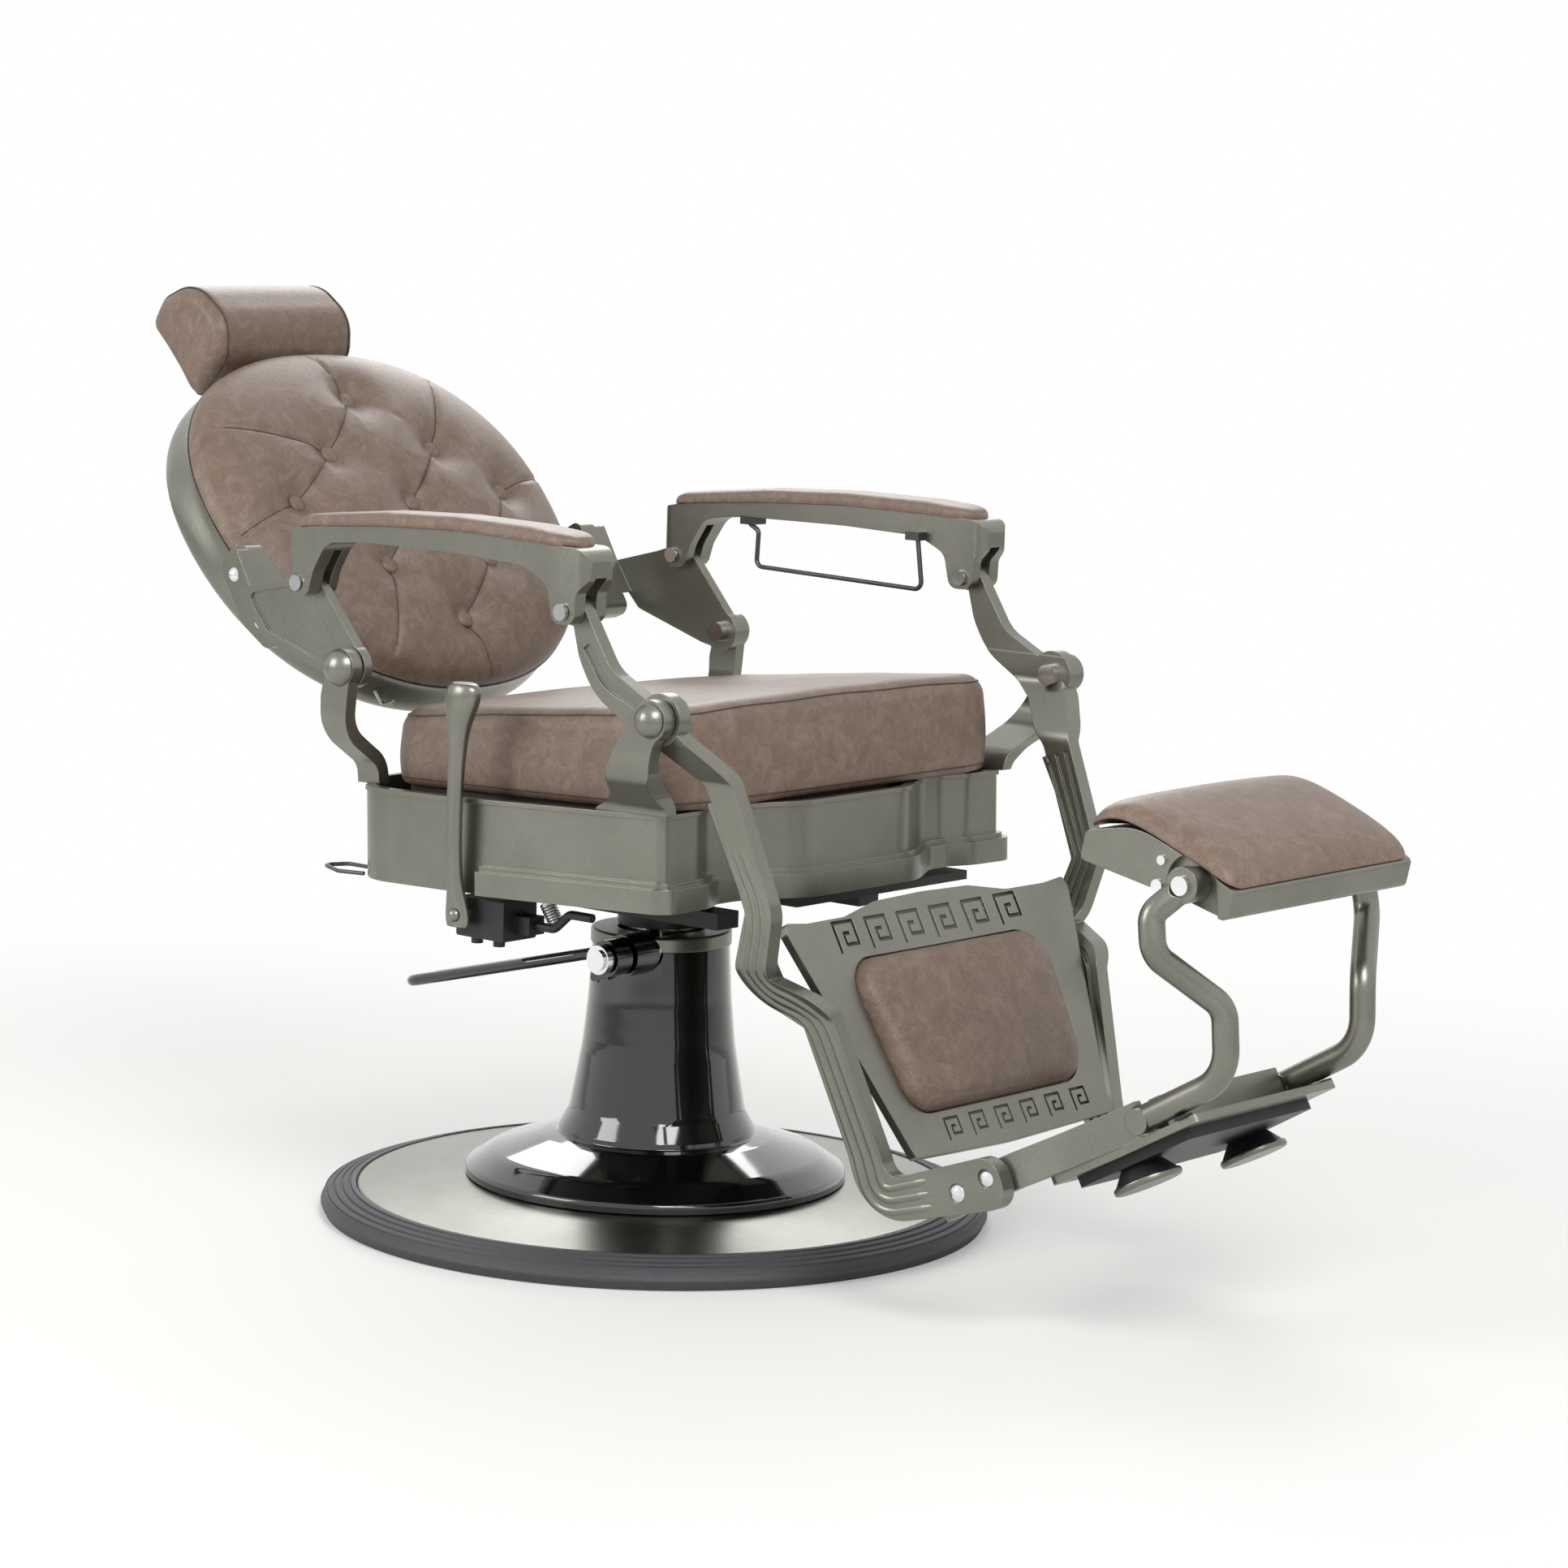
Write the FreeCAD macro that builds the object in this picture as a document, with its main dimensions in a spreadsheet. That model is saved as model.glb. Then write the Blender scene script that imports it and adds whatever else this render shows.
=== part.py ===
import FreeCAD, Part
import math
import os
import Sketcher
from FreeCAD import Placement, Rotation, Vector

# Hydraulic barber chair, millimetres. The chair faces -Y, +Z is up, and the origin is on the
# floor under the column axis. The drawn pose is fully reclined, at the lowest seat height.
# "left" and "right" are the sitter's: left is +X.

os.makedirs("parts", exist_ok=True)
doc = FreeCAD.newDocument("barber_chair")
sheet = doc.addObject("Spreadsheet::Sheet", "sizes")

SIZES = [
    # base
    ("trim_radius", 350.0, "outside of the rubber trim"),
    ("disc_radius", 312.0, "metal disc inside the trim"),
    ("disc_edge_height", 28.0, "disc height at its edge"),
    ("cover_top", 302.0, "top of the column cover"),
    ("cover_wall", 4.0, "column cover wall"),
    ("piston_radius", 38.0, "lift piston"),
    ("guide_radius", 52.0, "pump cylinder"),
    ("running_fit", 0.06, "radial gap of a shaft in its hole"),
    # pump lever
    ("shaft_radius", 11.0, "pump shaft"),
    ("shaft_level", 285.0, "height of the pump shaft"),
    ("shaft_depth", -27.0, "y of the pump shaft"),
    ("loop_rod", 6.0, "radius of the handle rod"),
    # seat
    ("apron_height", 95.0, "apron skirt"),
    ("apron_wall", 8.0, "apron wall"),
    ("ledge_height", 24.0, "moulding at the foot of the apron"),
    ("ledge_step", 12.0, "moulding beyond the wall"),
    ("seat_tilt", 1.9, "seat falls towards the back, degrees"),
    ("cushion_half", 256.0, "half width of the seat cushion"),
    ("cushion_thick", 92.0, "seat cushion over the column"),
    ("cushion_rake", 3.9, "cushion top falls towards the back, degrees"),
    ("board_thick", 12.0, "seat board"),
    ("strap_thick", 14.0, "thickness of the cast uprights"),
    # pivots, side view
    ("rear_pivot_y", 171.0, "back pivot"),
    ("rear_pivot_z", 578.3, "back pivot"),
    ("front_pivot_y", -268.1, "leg frame pivot"),
    ("front_pivot_z", 570.4, "leg frame pivot"),
    ("arm_rear_y", 231.7, "armrest on the side plate"),
    ("arm_rear_z", 659.0, "armrest on the side plate"),
    ("arm_front_y", -155.0, "armrest on the link"),
    ("arm_front_z", 663.7, "armrest on the link"),
    ("pin_radius", 8.0, "main pivot pins"),
    ("bolt_radius", 6.0, "armrest bolts"),
    ("open_gap", 1.0, "radial gap of the fourth pivot"),
    # back
    ("back_y", 411.1, "centre of the back"),
    ("back_z", 694.2, "centre of the back"),
    ("back_lean", 40.0, "back from the vertical, degrees"),
    ("shell_half", 250.5, "half width of the shell"),
    ("shell_tall", 219.5, "half height of the shell"),
    ("shell_depth", 64.0, "depth of the shell"),
    ("shell_wall", 5.0, "shell wall"),
    ("pillow_rise", 58.6, "back cushion above the shell rim"),
    ("roundness", 2.2, "power of the back outline; 2 is an ellipse"),
    ("tuft_depth", 20.0, "how far a button pulls the back cushion in"),
    ("head_half", 103.0, "half width of the headrest"),
    # front link
    ("link_thick", 17.0, "link in front view"),
    ("groove_width", 4.6, "flute of the link"),
    ("groove_depth", 3.0, "flute of the link"),
    # calf panel
    ("panel_tilt", 29.0, "degrees"),
    ("panel_thick", 9.0, "casting"),
    ("key_depth", 1.4, "depth of the key pattern"),
    # platform and foot pad
    ("deck_tilt", 29.4, "degrees"),
    ("tube_radius", 12.5, "S shaped arms"),
    ("foot_half", 150.0, "half width of the foot pad"),
    ("foot_pivot_y", -766.0, "foot pad pivot"),
    ("foot_pivot_z", 458.0, "foot pad pivot"),
    ("fold_y", -700.0, "arm fold pivot"),
    ("fold_z", 224.0, "arm fold pivot"),
]
V = {}
for row, (alias, value, note) in enumerate(SIZES, start=1):
    sheet.set("A%d" % row, alias)
    sheet.set("B%d" % row, str(value))
    sheet.setAlias("B%d" % row, alias)
    sheet.set("C%d" % row, note)
    V[alias] = value
doc.recompute()

NODES = {}
ABOUT_X = Vector(1, 0, 0)
SIDE_VIEW = Rotation(Vector(1, 1, 1), 120)
FRONT_VIEW = Rotation(ABOUT_X, 90)
PLAN_VIEW = Rotation()
FIT = V["running_fit"]
WORLD = Placement()


def bind(thing, **expressions):
    """Tie properties of a document object to the spreadsheet."""
    for path, expression in expressions.items():
        thing.setExpression(path.replace("__", "."), expression)
    return thing


def node(name, thing, at=None):
    """Publish a document object as one sub-part of the assembly."""
    if at is not None:
        thing.Placement = at.multiply(thing.Placement)
    thing.Label = name
    NODES[name] = thing
    return thing


def frame(y, z, degrees):
    """A local frame on the centre plane, turned about X."""
    return Placement(Vector(0, y, z), Rotation(ABOUT_X, degrees))


def moved(thing, at):
    thing.Placement = at.multiply(thing.Placement)
    return thing


# Outlines
def unit(p, q):
    d = Vector(q[0] - p[0], q[1] - p[1], 0)
    return d.normalize()


def offset_path(path, steps):
    """The same path moved to its left by one step, or by one step per corner; radii stay concentric."""
    if not isinstance(steps, list):
        steps = [steps] * len(path)
    out = []
    last = len(path) - 1
    for i, p in enumerate(path):
        d = steps[i]
        before = unit(path[i - 1], p) if i > 0 else None
        after = unit(p, path[i + 1]) if i < last else None
        if before is None or after is None:
            along = after or before
            out.append((p[0] - along.y * d, p[1] + along.x * d, p[2]))
            continue
        left = Vector(-before.y - after.y, before.x + after.x, 0)
        scale = d / (1 + before.dot(after))
        turn = before.x * after.y - before.y * after.x
        radius = p[2] - d if turn > 0 else p[2] + d
        out.append((p[0] + left.x * scale, p[1] + left.y * scale, max(radius, 0.5)))
    return out


def pieces(path, closed):
    """Lines and arcs through corners whose last value is the radius, which shrinks to fit its sides."""
    count = len(path)
    corners = [Vector(p[0], p[1], p[2] if len(p) > 3 else 0) for p in path]
    enter, leave, arcs = [], [], []
    for i in range(count):
        here = corners[i]
        radius = path[i][-1]
        inner = closed or 0 < i < count - 1
        if radius <= 0 or not inner:
            enter.append(here)
            leave.append(here)
            arcs.append(None)
            continue
        before, after = corners[i - 1], corners[(i + 1) % count]
        a = (before - here).normalize()
        b = (after - here).normalize()
        half = a.getAngle(b) / 2
        if half > math.pi / 2 - 0.004:
            enter.append(here)
            leave.append(here)
            arcs.append(None)
            continue
        room = 0.495 * min(here.distanceToPoint(before), here.distanceToPoint(after))
        reach = min(radius / math.tan(half), room)
        radius = reach * math.tan(half)
        middle = (a + b).normalize()
        start, end = here + a * reach, here + b * reach
        centre = here + middle * (radius / math.sin(half))
        enter.append(start)
        leave.append(end)
        arcs.append(Part.Arc(start, centre - middle * radius, end))
    found = []
    for i in range(count):
        if arcs[i] is not None:
            found.append(arcs[i])
        if i < count - 1 or closed:
            p, q = leave[i], enter[(i + 1) % count]
            if p.distanceToPoint(q) > 1e-4:
                found.append(Part.LineSegment(p, q))
    return found


def sketch(name, path, view=PLAN_VIEW, base=Vector(), closed=True):
    made = doc.addObject("Sketcher::SketchObject", name)
    made.Placement = Placement(base, view)
    made.addGeometry(pieces(path, closed), False)
    return made


def circle_sketch(name, radius, view=PLAN_VIEW, base=Vector(), centre=(0, 0)):
    made = doc.addObject("Sketcher::SketchObject", name)
    made.Placement = Placement(base, view)
    made.addGeometry(Part.Circle(Vector(centre[0], centre[1], 0), Vector(0, 0, 1), radius), False)
    return made


def band(path, width, middle=0.0):
    """A closed outline of even width along an open path."""
    one = offset_path(path, middle + width / 2)
    other = offset_path(path, middle - width / 2)
    return one + other[::-1]


# Solids
def extrude(name, outline, length, back=0.0, **expressions):
    made = doc.addObject("Part::Extrusion", name)
    made.Base = outline
    made.DirMode = "Normal"
    made.LengthFwd = length
    made.LengthRev = back
    made.Solid = True
    return bind(made, **expressions)


def lathe(name, path, **expressions):
    """A solid of revolution about Z from an (r, z) outline."""
    outline = sketch(name + "_outline", path, FRONT_VIEW)
    made = doc.addObject("Part::Revolution", name)
    made.Source = outline
    made.Axis = Vector(0, 0, 1)
    made.Angle = 360
    made.Solid = True
    return bind(made, **expressions)


def box(name, x0, x1, y0, y1, z0, z1, **expressions):
    made = doc.addObject("Part::Box", name)
    made.Length, made.Width, made.Height = x1 - x0, y1 - y0, z1 - z0
    made.Placement.Base = Vector(x0, y0, z0)
    return bind(made, **expressions)


def rod_x(name, radius, x0, x1, y, z, **expressions):
    """A cylinder along X."""
    made = doc.addObject("Part::Cylinder", name)
    made.Radius, made.Height = radius, x1 - x0
    made.Placement = Placement(Vector(x0, y, z), Rotation(Vector(0, 1, 0), 90))
    return bind(made, **expressions)


def rod_z(name, radius, x, y, z0, z1, **expressions):
    made = doc.addObject("Part::Cylinder", name)
    made.Radius, made.Height = radius, z1 - z0
    made.Placement.Base = Vector(x, y, z0)
    return bind(made, **expressions)


def fuse(name, *solids):
    made = doc.addObject("Part::MultiFuse", name)
    made.Shapes = list(solids)
    made.Refine = True
    return made


def cut(name, solid, *tools):
    tool = tools[0] if len(tools) == 1 else fuse(name + "_tools", *tools)
    made = doc.addObject("Part::Cut", name)
    made.Base, made.Tool = solid, tool
    return made


def common(name, *solids):
    made = doc.addObject("Part::MultiCommon", name)
    made.Shapes = list(solids)
    return made


def compound(name, *solids):
    made = doc.addObject("Part::Compound", name)
    made.Links = list(solids)
    return made


def mirrored(name, solid):
    made = doc.addObject("Part::Mirroring", name)
    made.Source = solid
    made.Base, made.Normal = Vector(), Vector(1, 0, 0)
    return made


def both_sides(name, solid):
    """One piece on the sitter's left and its mirror image on the right."""
    node(name + "_left", solid)
    node(name + "_right", mirrored(name + "_right_body", solid))


def rounded(name, solid, radius, wanted):
    """Fillet every edge that the test picks."""
    doc.recompute()
    picked = [(i + 1, radius, radius) for i, e in enumerate(solid.Shape.Edges) if wanted(e)]
    made = doc.addObject("Part::Fillet", name)
    made.Base = solid
    made.Edges = picked
    return made


def lofted(name, sections, ruled=False):
    made = doc.addObject("Part::Loft", name)
    made.Sections = sections
    made.Solid = True
    made.Ruled = ruled
    return made


def ellipse(name, major, minor, at):
    made = doc.addObject("Part::Ellipse", name)
    if major >= minor:
        made.MajorRadius, made.MinorRadius = major, minor
        made.Placement = at
    else:
        made.MajorRadius, made.MinorRadius = minor, major
        made.Placement = at.multiply(Placement(Vector(), Rotation(Vector(0, 0, 1), 90)))
    return made


def tube(name, path, radius, view=SIDE_VIEW, base=Vector()):
    """A round bar swept along an open path, flat in one view or with all three coordinates."""
    if len(path[0]) > 3:
        view = PLAN_VIEW
        spine = doc.addObject("Part::Feature", name + "_spine")
        spine.Shape = Part.Wire([g.toShape() for g in pieces(path, False)])
        want = Vector(*path[0][:3])
    else:
        spine = sketch(name + "_spine", path, view, base, closed=False)
        want = Placement(base, view).multVec(Vector(path[0][0], path[0][1], 0))
    doc.recompute()
    edges = spine.Shape.Wires[0].OrderedEdges
    first = edges[0]
    point = first.valueAt(first.FirstParameter)
    along = first.tangentAt(first.FirstParameter)
    if point.distanceToPoint(want) > 0.01:
        point = first.valueAt(first.LastParameter)
        along = first.tangentAt(first.LastParameter)
    ring = doc.addObject("Sketcher::SketchObject", name + "_ring")
    ring.Placement = Placement(point, Rotation(Vector(0, 0, 1), along))
    ring.addGeometry(Part.Circle(Vector(), Vector(0, 0, 1), radius), False)
    made = doc.addObject("Part::Sweep", name)
    made.Sections = [ring]
    made.Spine = (spine, ["Edge%d" % (i + 1) for i in range(len(spine.Shape.Edges))])
    made.Solid = True
    made.Frenet = len(path[0]) < 4
    return made


def domed_cap(name, x0, x1, radius, y, z):
    """A pivot cap: a low dome turned about X, flat side at x0."""
    rise = x1 - x0
    ball = (radius ** 2 + rise ** 2) / (2 * rise)
    sphere = doc.addObject("Part::Sphere", name + "_ball")
    sphere.Radius = ball
    sphere.Placement.Base = Vector(x1 - ball, y, z)
    return common(name, sphere, rod_x(name + "_side", radius, x0, x1 + 1, y, z))


def bolt_x(name, radius, x0, x1, y, z, head, head_rise):
    """A bolt along X with a round head at each end."""
    return fuse(
        name,
        rod_x(name + "_stem", radius, x0, x1, y, z),
        rod_x(name + "_out", head, x1, x1 + head_rise, y, z),
        rod_x(name + "_in", head, x0 - head_rise, x0, y, z),
    )


# Base
def make_base():
    disc, edge = V["disc_radius"], V["disc_edge_height"]
    plate = lathe("plate_turned", [
        (56, 34, 0), (56, 42, 0), (200, 41, 900), (disc, edge, 3), (disc, 0, 0),
        (disc - 16, 0, 0), (disc - 16, edge - 8, 0), (200, 33, 0),
    ])
    node("base_plate", plate)
    rim = V["trim_radius"]
    ribs = [(disc + FIT, 0, 0), (disc + FIT, edge + 1, 2)]
    for i in range(4):
        r = disc + 6 + i * 8
        top = edge + 1 - i * 2.6
        ribs += [(r, top, 1), (r + 0.8, top - 2.2, 0), (r + 2.2, top - 2.2, 0), (r + 3, top - 0.9, 1)]
    ribs += [(rim - 3, 14, 6), (rim, 10, 4), (rim - 5, 0, 1)]
    node("base_trim", lathe("trim_turned", ribs))

    wall = V["cover_wall"]
    outside = [
        (199, 41.2, 0), (199, 50, 6), (174, 66, 40), (120, 83, 20), (104, 86, 2), (103, 92, 3),
        (92, 112, 20), (80, 180, 200), (75, 230, 200), (72, V["cover_top"] - 16, 0),
    ]
    inside = [
        (67, V["cover_top"] - 16, 0), (70, 230, 200), (75, 180, 200), (87, 112, 20), (98, 88, 6),
        (116, 79, 20), (172, 61, 30), (195, 46, 0), (195, 41.2, 0),
    ]
    cover = lathe("cover_turned", outside + inside)
    y, z = V["shaft_depth"], V["shaft_level"]
    window = rod_x("cover_window", 22 + FIT, -120, -20, y, z)
    node("column_cover", cut("cover_cut", cover, window))

    ring = lathe("collar_turned", [
        (V["piston_radius"] + 8, 286.2, 0), (73.5, 286.2, 1.5), (73.5, 302, 3),
        (V["piston_radius"] + 8, 302, 0),
    ])
    collar_relief = rod_x("collar_relief", 22 + FIT, -120, -20, y, z)
    node("column_collar", cut("collar_cut", ring, collar_relief))

    guide = V["guide_radius"]
    bore = V["piston_radius"] + FIT
    jacket = lathe("jacket_turned", [(bore, 20, 0), (guide, 20, 0), (guide, 285, 2), (bore, 285, 0)])
    foot = lathe("foot_turned", [(0, 0, 0), (55, 0, 0), (55, 20, 0), (0, 20, 0)])
    relief = rod_x("jacket_relief", 22 + FIT, -120, -20, y, z)
    node("pump_cylinder", cut("cylinder_cut", fuse("cylinder_raw", jacket, foot), relief))

    hub = rod_x("hub_round", 22, -92, -58, y, z)
    fin = extrude("hub_fin", sketch("hub_fin_outline", [
        (y + 6, z - 8, 0), (y + 40, z - 2, 5), (y + 48, z - 36, 4), (y + 20, z - 22, 4),
    ], SIDE_VIEW, Vector(-88, 0, 0)), 8)
    hole = rod_x("hub_hole", V["shaft_radius"] + FIT, -120, -40, y, z)
    keep_out = rod_z("hub_inner", 72, 0, 0, 200, 330)
    hub_body = fuse("hub_raw", hub, cut("hub_fin_cut", fin, keep_out))
    node("pump_hub", cut("hub_cut", hub_body, hole))

    node("lift_piston", cut(
        "piston_cut",
        lathe("piston_turned", [(0, 30, 0), (V["piston_radius"], 30, 2), (V["piston_radius"], 306, 1),
                                (20, 306, 0), (20, 326, 1), (0, 326, 0)]),
        rod_z("piston_bore", 6, 0, 0, 25, 60)))


def make_pump_lever():
    y, z, r = V["shaft_depth"], V["shaft_level"], V["shaft_radius"]
    shaft = rod_x("shaft_round", r, -132, -56.5, y, z, Radius="sizes.shaft_radius")
    node("pump_shaft", shaft)
    ring = cut("ring_cut", rod_x("ring_round", 15, -129, -120.2, y, z),
               rod_x("ring_hole", r + FIT, -140, -100, y, z))
    node("shaft_ring", ring)
    # the handle: a flat loop of rod around an eye on the shaft
    rod = V["loop_rod"]
    reach, drop, half = 273.0, 68.0, 21.0
    tilt = math.degrees(math.atan2(-drop, reach))
    long = math.hypot(reach, drop)
    eye = cut("eye_cut", rod_x("eye_round", 19, -117.5, -96, y, z),
              rod_x("eye_hole", r + FIT, -140, -80, y, z))
    start, mid, rise = 4.0, -107.0, 8.0
    loop = tube("loop_bar", [
        (mid + 7, start, 0), (mid + 7, start + 40, 30), (mid + half, start + 95, 40),
        (mid + half, long, half - 1), (mid - half, long, half - 1), (mid - half, start + 95, 40),
        (mid - 7, start + 40, 30), (mid - 7, start, 0),
    ], rod, PLAN_VIEW)
    moved(loop, Placement(Vector(0, y, z + rise), Rotation(ABOUT_X, tilt)))
    hollow = rod_x("loop_clear", r + FIT, -140, -80, y, z)
    node("pump_handle", cut("handle_cut", fuse("handle_raw", eye, loop), hollow))


# Seat
SEAT = Placement(Vector(0, 0, 462), Rotation(ABOUT_X, -V["seat_tilt"]))


def mirror_outline(half):
    """Close a half outline given for x >= 0 with its mirror image."""
    other = [(-x, y, r) for x, y, r in half[::-1] if x > 0.001]
    return half + other


APRON = [
    (0, -255, 0), (82, -255, 70), (150, -216, 45), (186, -216, 30), (214, -229, 25),
    (268, -233, 11), (279, -70, 400), (287, 35, 130), (280, 158, 80), (219, 214, 60),
    (0, 222, 0),
]


def grown(half, d):
    """Move a half outline outward (anticlockwise outline, so outward is to the right)."""
    moved_path = offset_path(half, -d)
    first, last = moved_path[0], moved_path[-1]
    moved_path[0] = (0, first[1], 0)
    moved_path[-1] = (0, last[1], 0)
    return moved_path


def make_seat():
    height, wall = V["apron_height"], V["apron_wall"]
    outer = extrude("apron_outer", sketch("apron_plan", mirror_outline(APRON)), 0, height,
                    LengthRev="sizes.apron_height")
    inner = extrude("apron_inner", sketch("apron_inside", mirror_outline(grown(APRON, -wall))), 1,
                    height + 1)
    step = V["ledge_step"]
    ledge = extrude("ledge_solid", sketch(
        "ledge_plan", mirror_outline(grown(APRON, step)), PLAN_VIEW,
        Vector(0, 0, -height)), V["ledge_height"], LengthFwd="sizes.ledge_height")
    slope = extrude("ledge_slope", sketch(
        "ledge_slope_plan", mirror_outline(grown(APRON, step / 2)), PLAN_VIEW,
        Vector(0, 0, -height + V["ledge_height"])), 5)
    front_only = box("ledge_zone", -400, 400, -400, -8, -height - 1, 0)
    moulding = common("ledge_front", fuse("ledge_raw", ledge, slope), front_only)
    lip = common("apron_lip", extrude("lip_solid", sketch(
        "lip_plan", mirror_outline(grown(APRON, 2.5)), PLAN_VIEW, Vector(0, 0, -5)), 5),
        box("lip_zone", -400, 400, -400, 170, -10, 2))
    skirt = cut("apron_cut", fuse("apron_raw", outer, moulding, lip), inner)
    floor = common("apron_floor", extrude("floor_solid", sketch(
        "floor_plan", mirror_outline(grown(APRON, -wall + 1)), PLAN_VIEW,
        Vector(0, 0, -height + 14)), 7), box("floor_zone", -300, 300, -300, 300, -200, 0))
    column_hole = rod_z("floor_hole", 30, 0, 0, -150, 20)
    apron = cut("apron_holed", fuse("apron_all", skirt, floor), column_hole)
    node("seat_apron", apron, SEAT)

    board = extrude("board_solid", sketch("board_plan", mirror_outline([
        (0, -224, 0), (80, -224, 60), (150, -200, 40), (240, -206, 20), (248, 60, 200),
        (236, 150, 30), (0, 160, 0)])), 0, V["board_thick"], LengthRev="sizes.board_thick")
    battens = [box("batten_%d" % i, x - 20, x + 20, -190, 140, -74, -V["board_thick"])
               for i, x in enumerate((-150, 150))]
    node("seat_board", fuse("board_all", board, *battens), SEAT)

    half = V["cushion_half"]
    thick = V["cushion_thick"]
    plan = mirror_outline([
        (0, -241, 0), (half - 40, -238, 100), (half, -224, 26), (half + 1, -30, 900),
        (half - 6, 168, 60), (0, 178, 0)])
    # made upright with its top at zero, then raked and cut off level with the board
    raked = Placement(Vector(0, 0, thick), Rotation(ABOUT_X, -V["cushion_rake"]))
    deep = thick + 40
    body = extrude("cushion_block", sketch("cushion_plan", plan), 0, deep)
    soft = rounded("cushion_soft", body, 24, lambda e: e.BoundBox.ZMin > -1)
    crown = doc.addObject("Part::Sphere", "cushion_crown")
    crown.Radius = 12000
    crown.Placement.Base = Vector(0, -34, -12000)
    domed = moved(common("cushion_domed", soft, crown), raked)
    drawn = cut("cushion_cut", domed, box("cushion_under", -400, 400, -400, 400, -100, 0))
    node("seat_cushion", drawn, SEAT.multiply(Placement(Vector(0, 0, 0.4), Rotation())))

    # underframe: two rails, a cross plate and the hub on the piston
    rails = [box("rail_%d" % i, x - 16, x + 16, -185, 150, 336, 353) for i, x in
             enumerate((-112, 112))]
    cross = box("cross_plate", -112, 112, -60, 60, 338, 350)
    socket = rod_z("hub_outer", 46, 0, 0, 306.3, 353)
    spigot = rod_z("hub_bore", 20 + FIT, 0, 0, 300, 326.5)
    posts = [rod_z("post_%d_%d" % (i, j), 12, x, y, 345, 376) for i, x in enumerate((-112, 112))
             for j, y in enumerate((-150, 110))]
    raw = fuse("underframe_raw", *(rails + [cross, socket] + posts))
    under_apron = extrude("under_apron", sketch("under_apron_plan", mirror_outline(
        [(0, -300, 0), (300, -300, 0), (300, 300, 0), (0, 300, 0)]), PLAN_VIEW,
        Vector(0, 0, -height + 14)), 200)
    moved(under_apron, SEAT)
    frame_body = cut("underframe_cut", raw, spigot, under_apron)
    node("seat_underframe", frame_body)

    bar = box("front_bar", -40, 240, -214, -170, 353.5, 363)
    stud = fuse("latch_stud", rod_z("latch_stem", 4, 128, -206, 359, 369),
                rod_z("latch_head", 7, 128, -206, 363, 367))
    node("front_bracket", fuse("front_bracket_raw", bar, stud))

    # hooks at the back of the seat
    ring = tube("strap_loop_bar", [
        (214, 200, 0), (214, 246, 10), (238, 258, 10), (256, 220, 10), (248, 190, 0),
    ], 2.2, PLAN_VIEW, Vector(0, 0, 360))
    skirt_tool = extrude("strap_tool", sketch("strap_tool_plan", mirror_outline(APRON)), 40, 140)
    moved(skirt_tool, SEAT)
    strap = cut("strap_cut", ring, skirt_tool)
    node("strap_loop", mirrored("strap_loop_body", strap))


def upright(name, side_outline, front_path, pivot_y, pivot_z, boss, x_top):
    """A cast strap: its side outline crossed with its bent front profile, plus a pivot boss."""
    side = extrude(name + "_side", sketch(name + "_side_plan", side_outline, SIDE_VIEW,
                                          Vector(180, 0, 0)), 200)
    strap = V["strap_thick"]
    front = extrude(name + "_front", sketch(name + "_front_plan", band(front_path, strap),
                                            FRONT_VIEW, Vector(0, 400, 0)), 800)
    eye = rod_x(name + "_eye", boss, x_top - strap / 2, x_top + strap / 2, pivot_y, pivot_z)
    hole = rod_x(name + "_hole", V["pin_radius"] + FIT, x_top - 40, x_top + 40, pivot_y, pivot_z)
    return cut(name + "_bored", fuse(name + "_raw", common(name + "_strap", side, front), eye), hole)


def make_uprights():
    y, z = V["front_pivot_y"], V["front_pivot_z"]
    seat_top = extrude("seat_top_tool", sketch("seat_top_plan", mirror_outline(
        [(0, -400, 0), (400, -400, 0), (400, 400, 0), (0, 400, 0)])), 0, 60)
    moved(seat_top, SEAT)
    front = upright("front_upright", [
        (-146, 455, 0), (-150, 470, 6), (-192, 490, 60), (-229, 548, 60), (y + 16, z + 6, 0),
        (y - 12, z + 15, 0), (y - 19, z - 6, 0), (-273, 548, 20), (-264, 518, 30), (-243, 491, 14),
        (-240, 455, 0),
    ], [(266, 452, 0), (267, 479, 25), (326, 518, 40), (326, 600, 0)], y, z, 20, 326)
    both_sides("front_upright", cut("front_upright_seated", front, seat_top))
    y, z = V["rear_pivot_y"], V["rear_pivot_z"]
    rear = upright("rear_upright", [
        (160, 440, 0), (164, 500, 60), (y - 14, z - 12, 0), (y - 12, z + 8, 0), (y + 18, z + 4, 0),
        (y + 20, z - 8, 0), (196, 548, 20), (196, 520, 40), (190, 440, 0),
    ], [(250, 440, 0), (251, 478, 25), (301, 514, 40), (301, 600, 0)], y, z, 20, 301)
    both_sides("rear_upright", cut("rear_upright_seated", rear, seat_top))

    pin = V["pin_radius"]
    pins, caps = [], []
    for name, y, z, x0, radius in (
            ("front", V["front_pivot_y"], V["front_pivot_z"], 293, 17),
            ("rear", V["rear_pivot_y"], V["rear_pivot_z"], 272, 19)):
        x1 = x0 + 40.2 if name == "front" else x0 + 36.2
        stem = rod_x(name + "_pin_stem", pin, x0 + 5, x1, y, z)
        head = rod_x(name + "_pin_head", 11, x0, x0 + (8.9 if name == "front" else 9.8), y, z)
        pins.append(fuse(name + "_pin", stem, head))
        caps.append(domed_cap(name + "_cap", x1 + 0.1, x1 + 12.8, radius, y, z))
    for name, side in (("pivot_pins", pins), ("pivot_caps", caps)):
        other = [mirrored("%s_mirror_%d" % (name, i), p) for i, p in enumerate(side)]
        node(name, compound(name + "_raw", *(side + other)))


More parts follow.
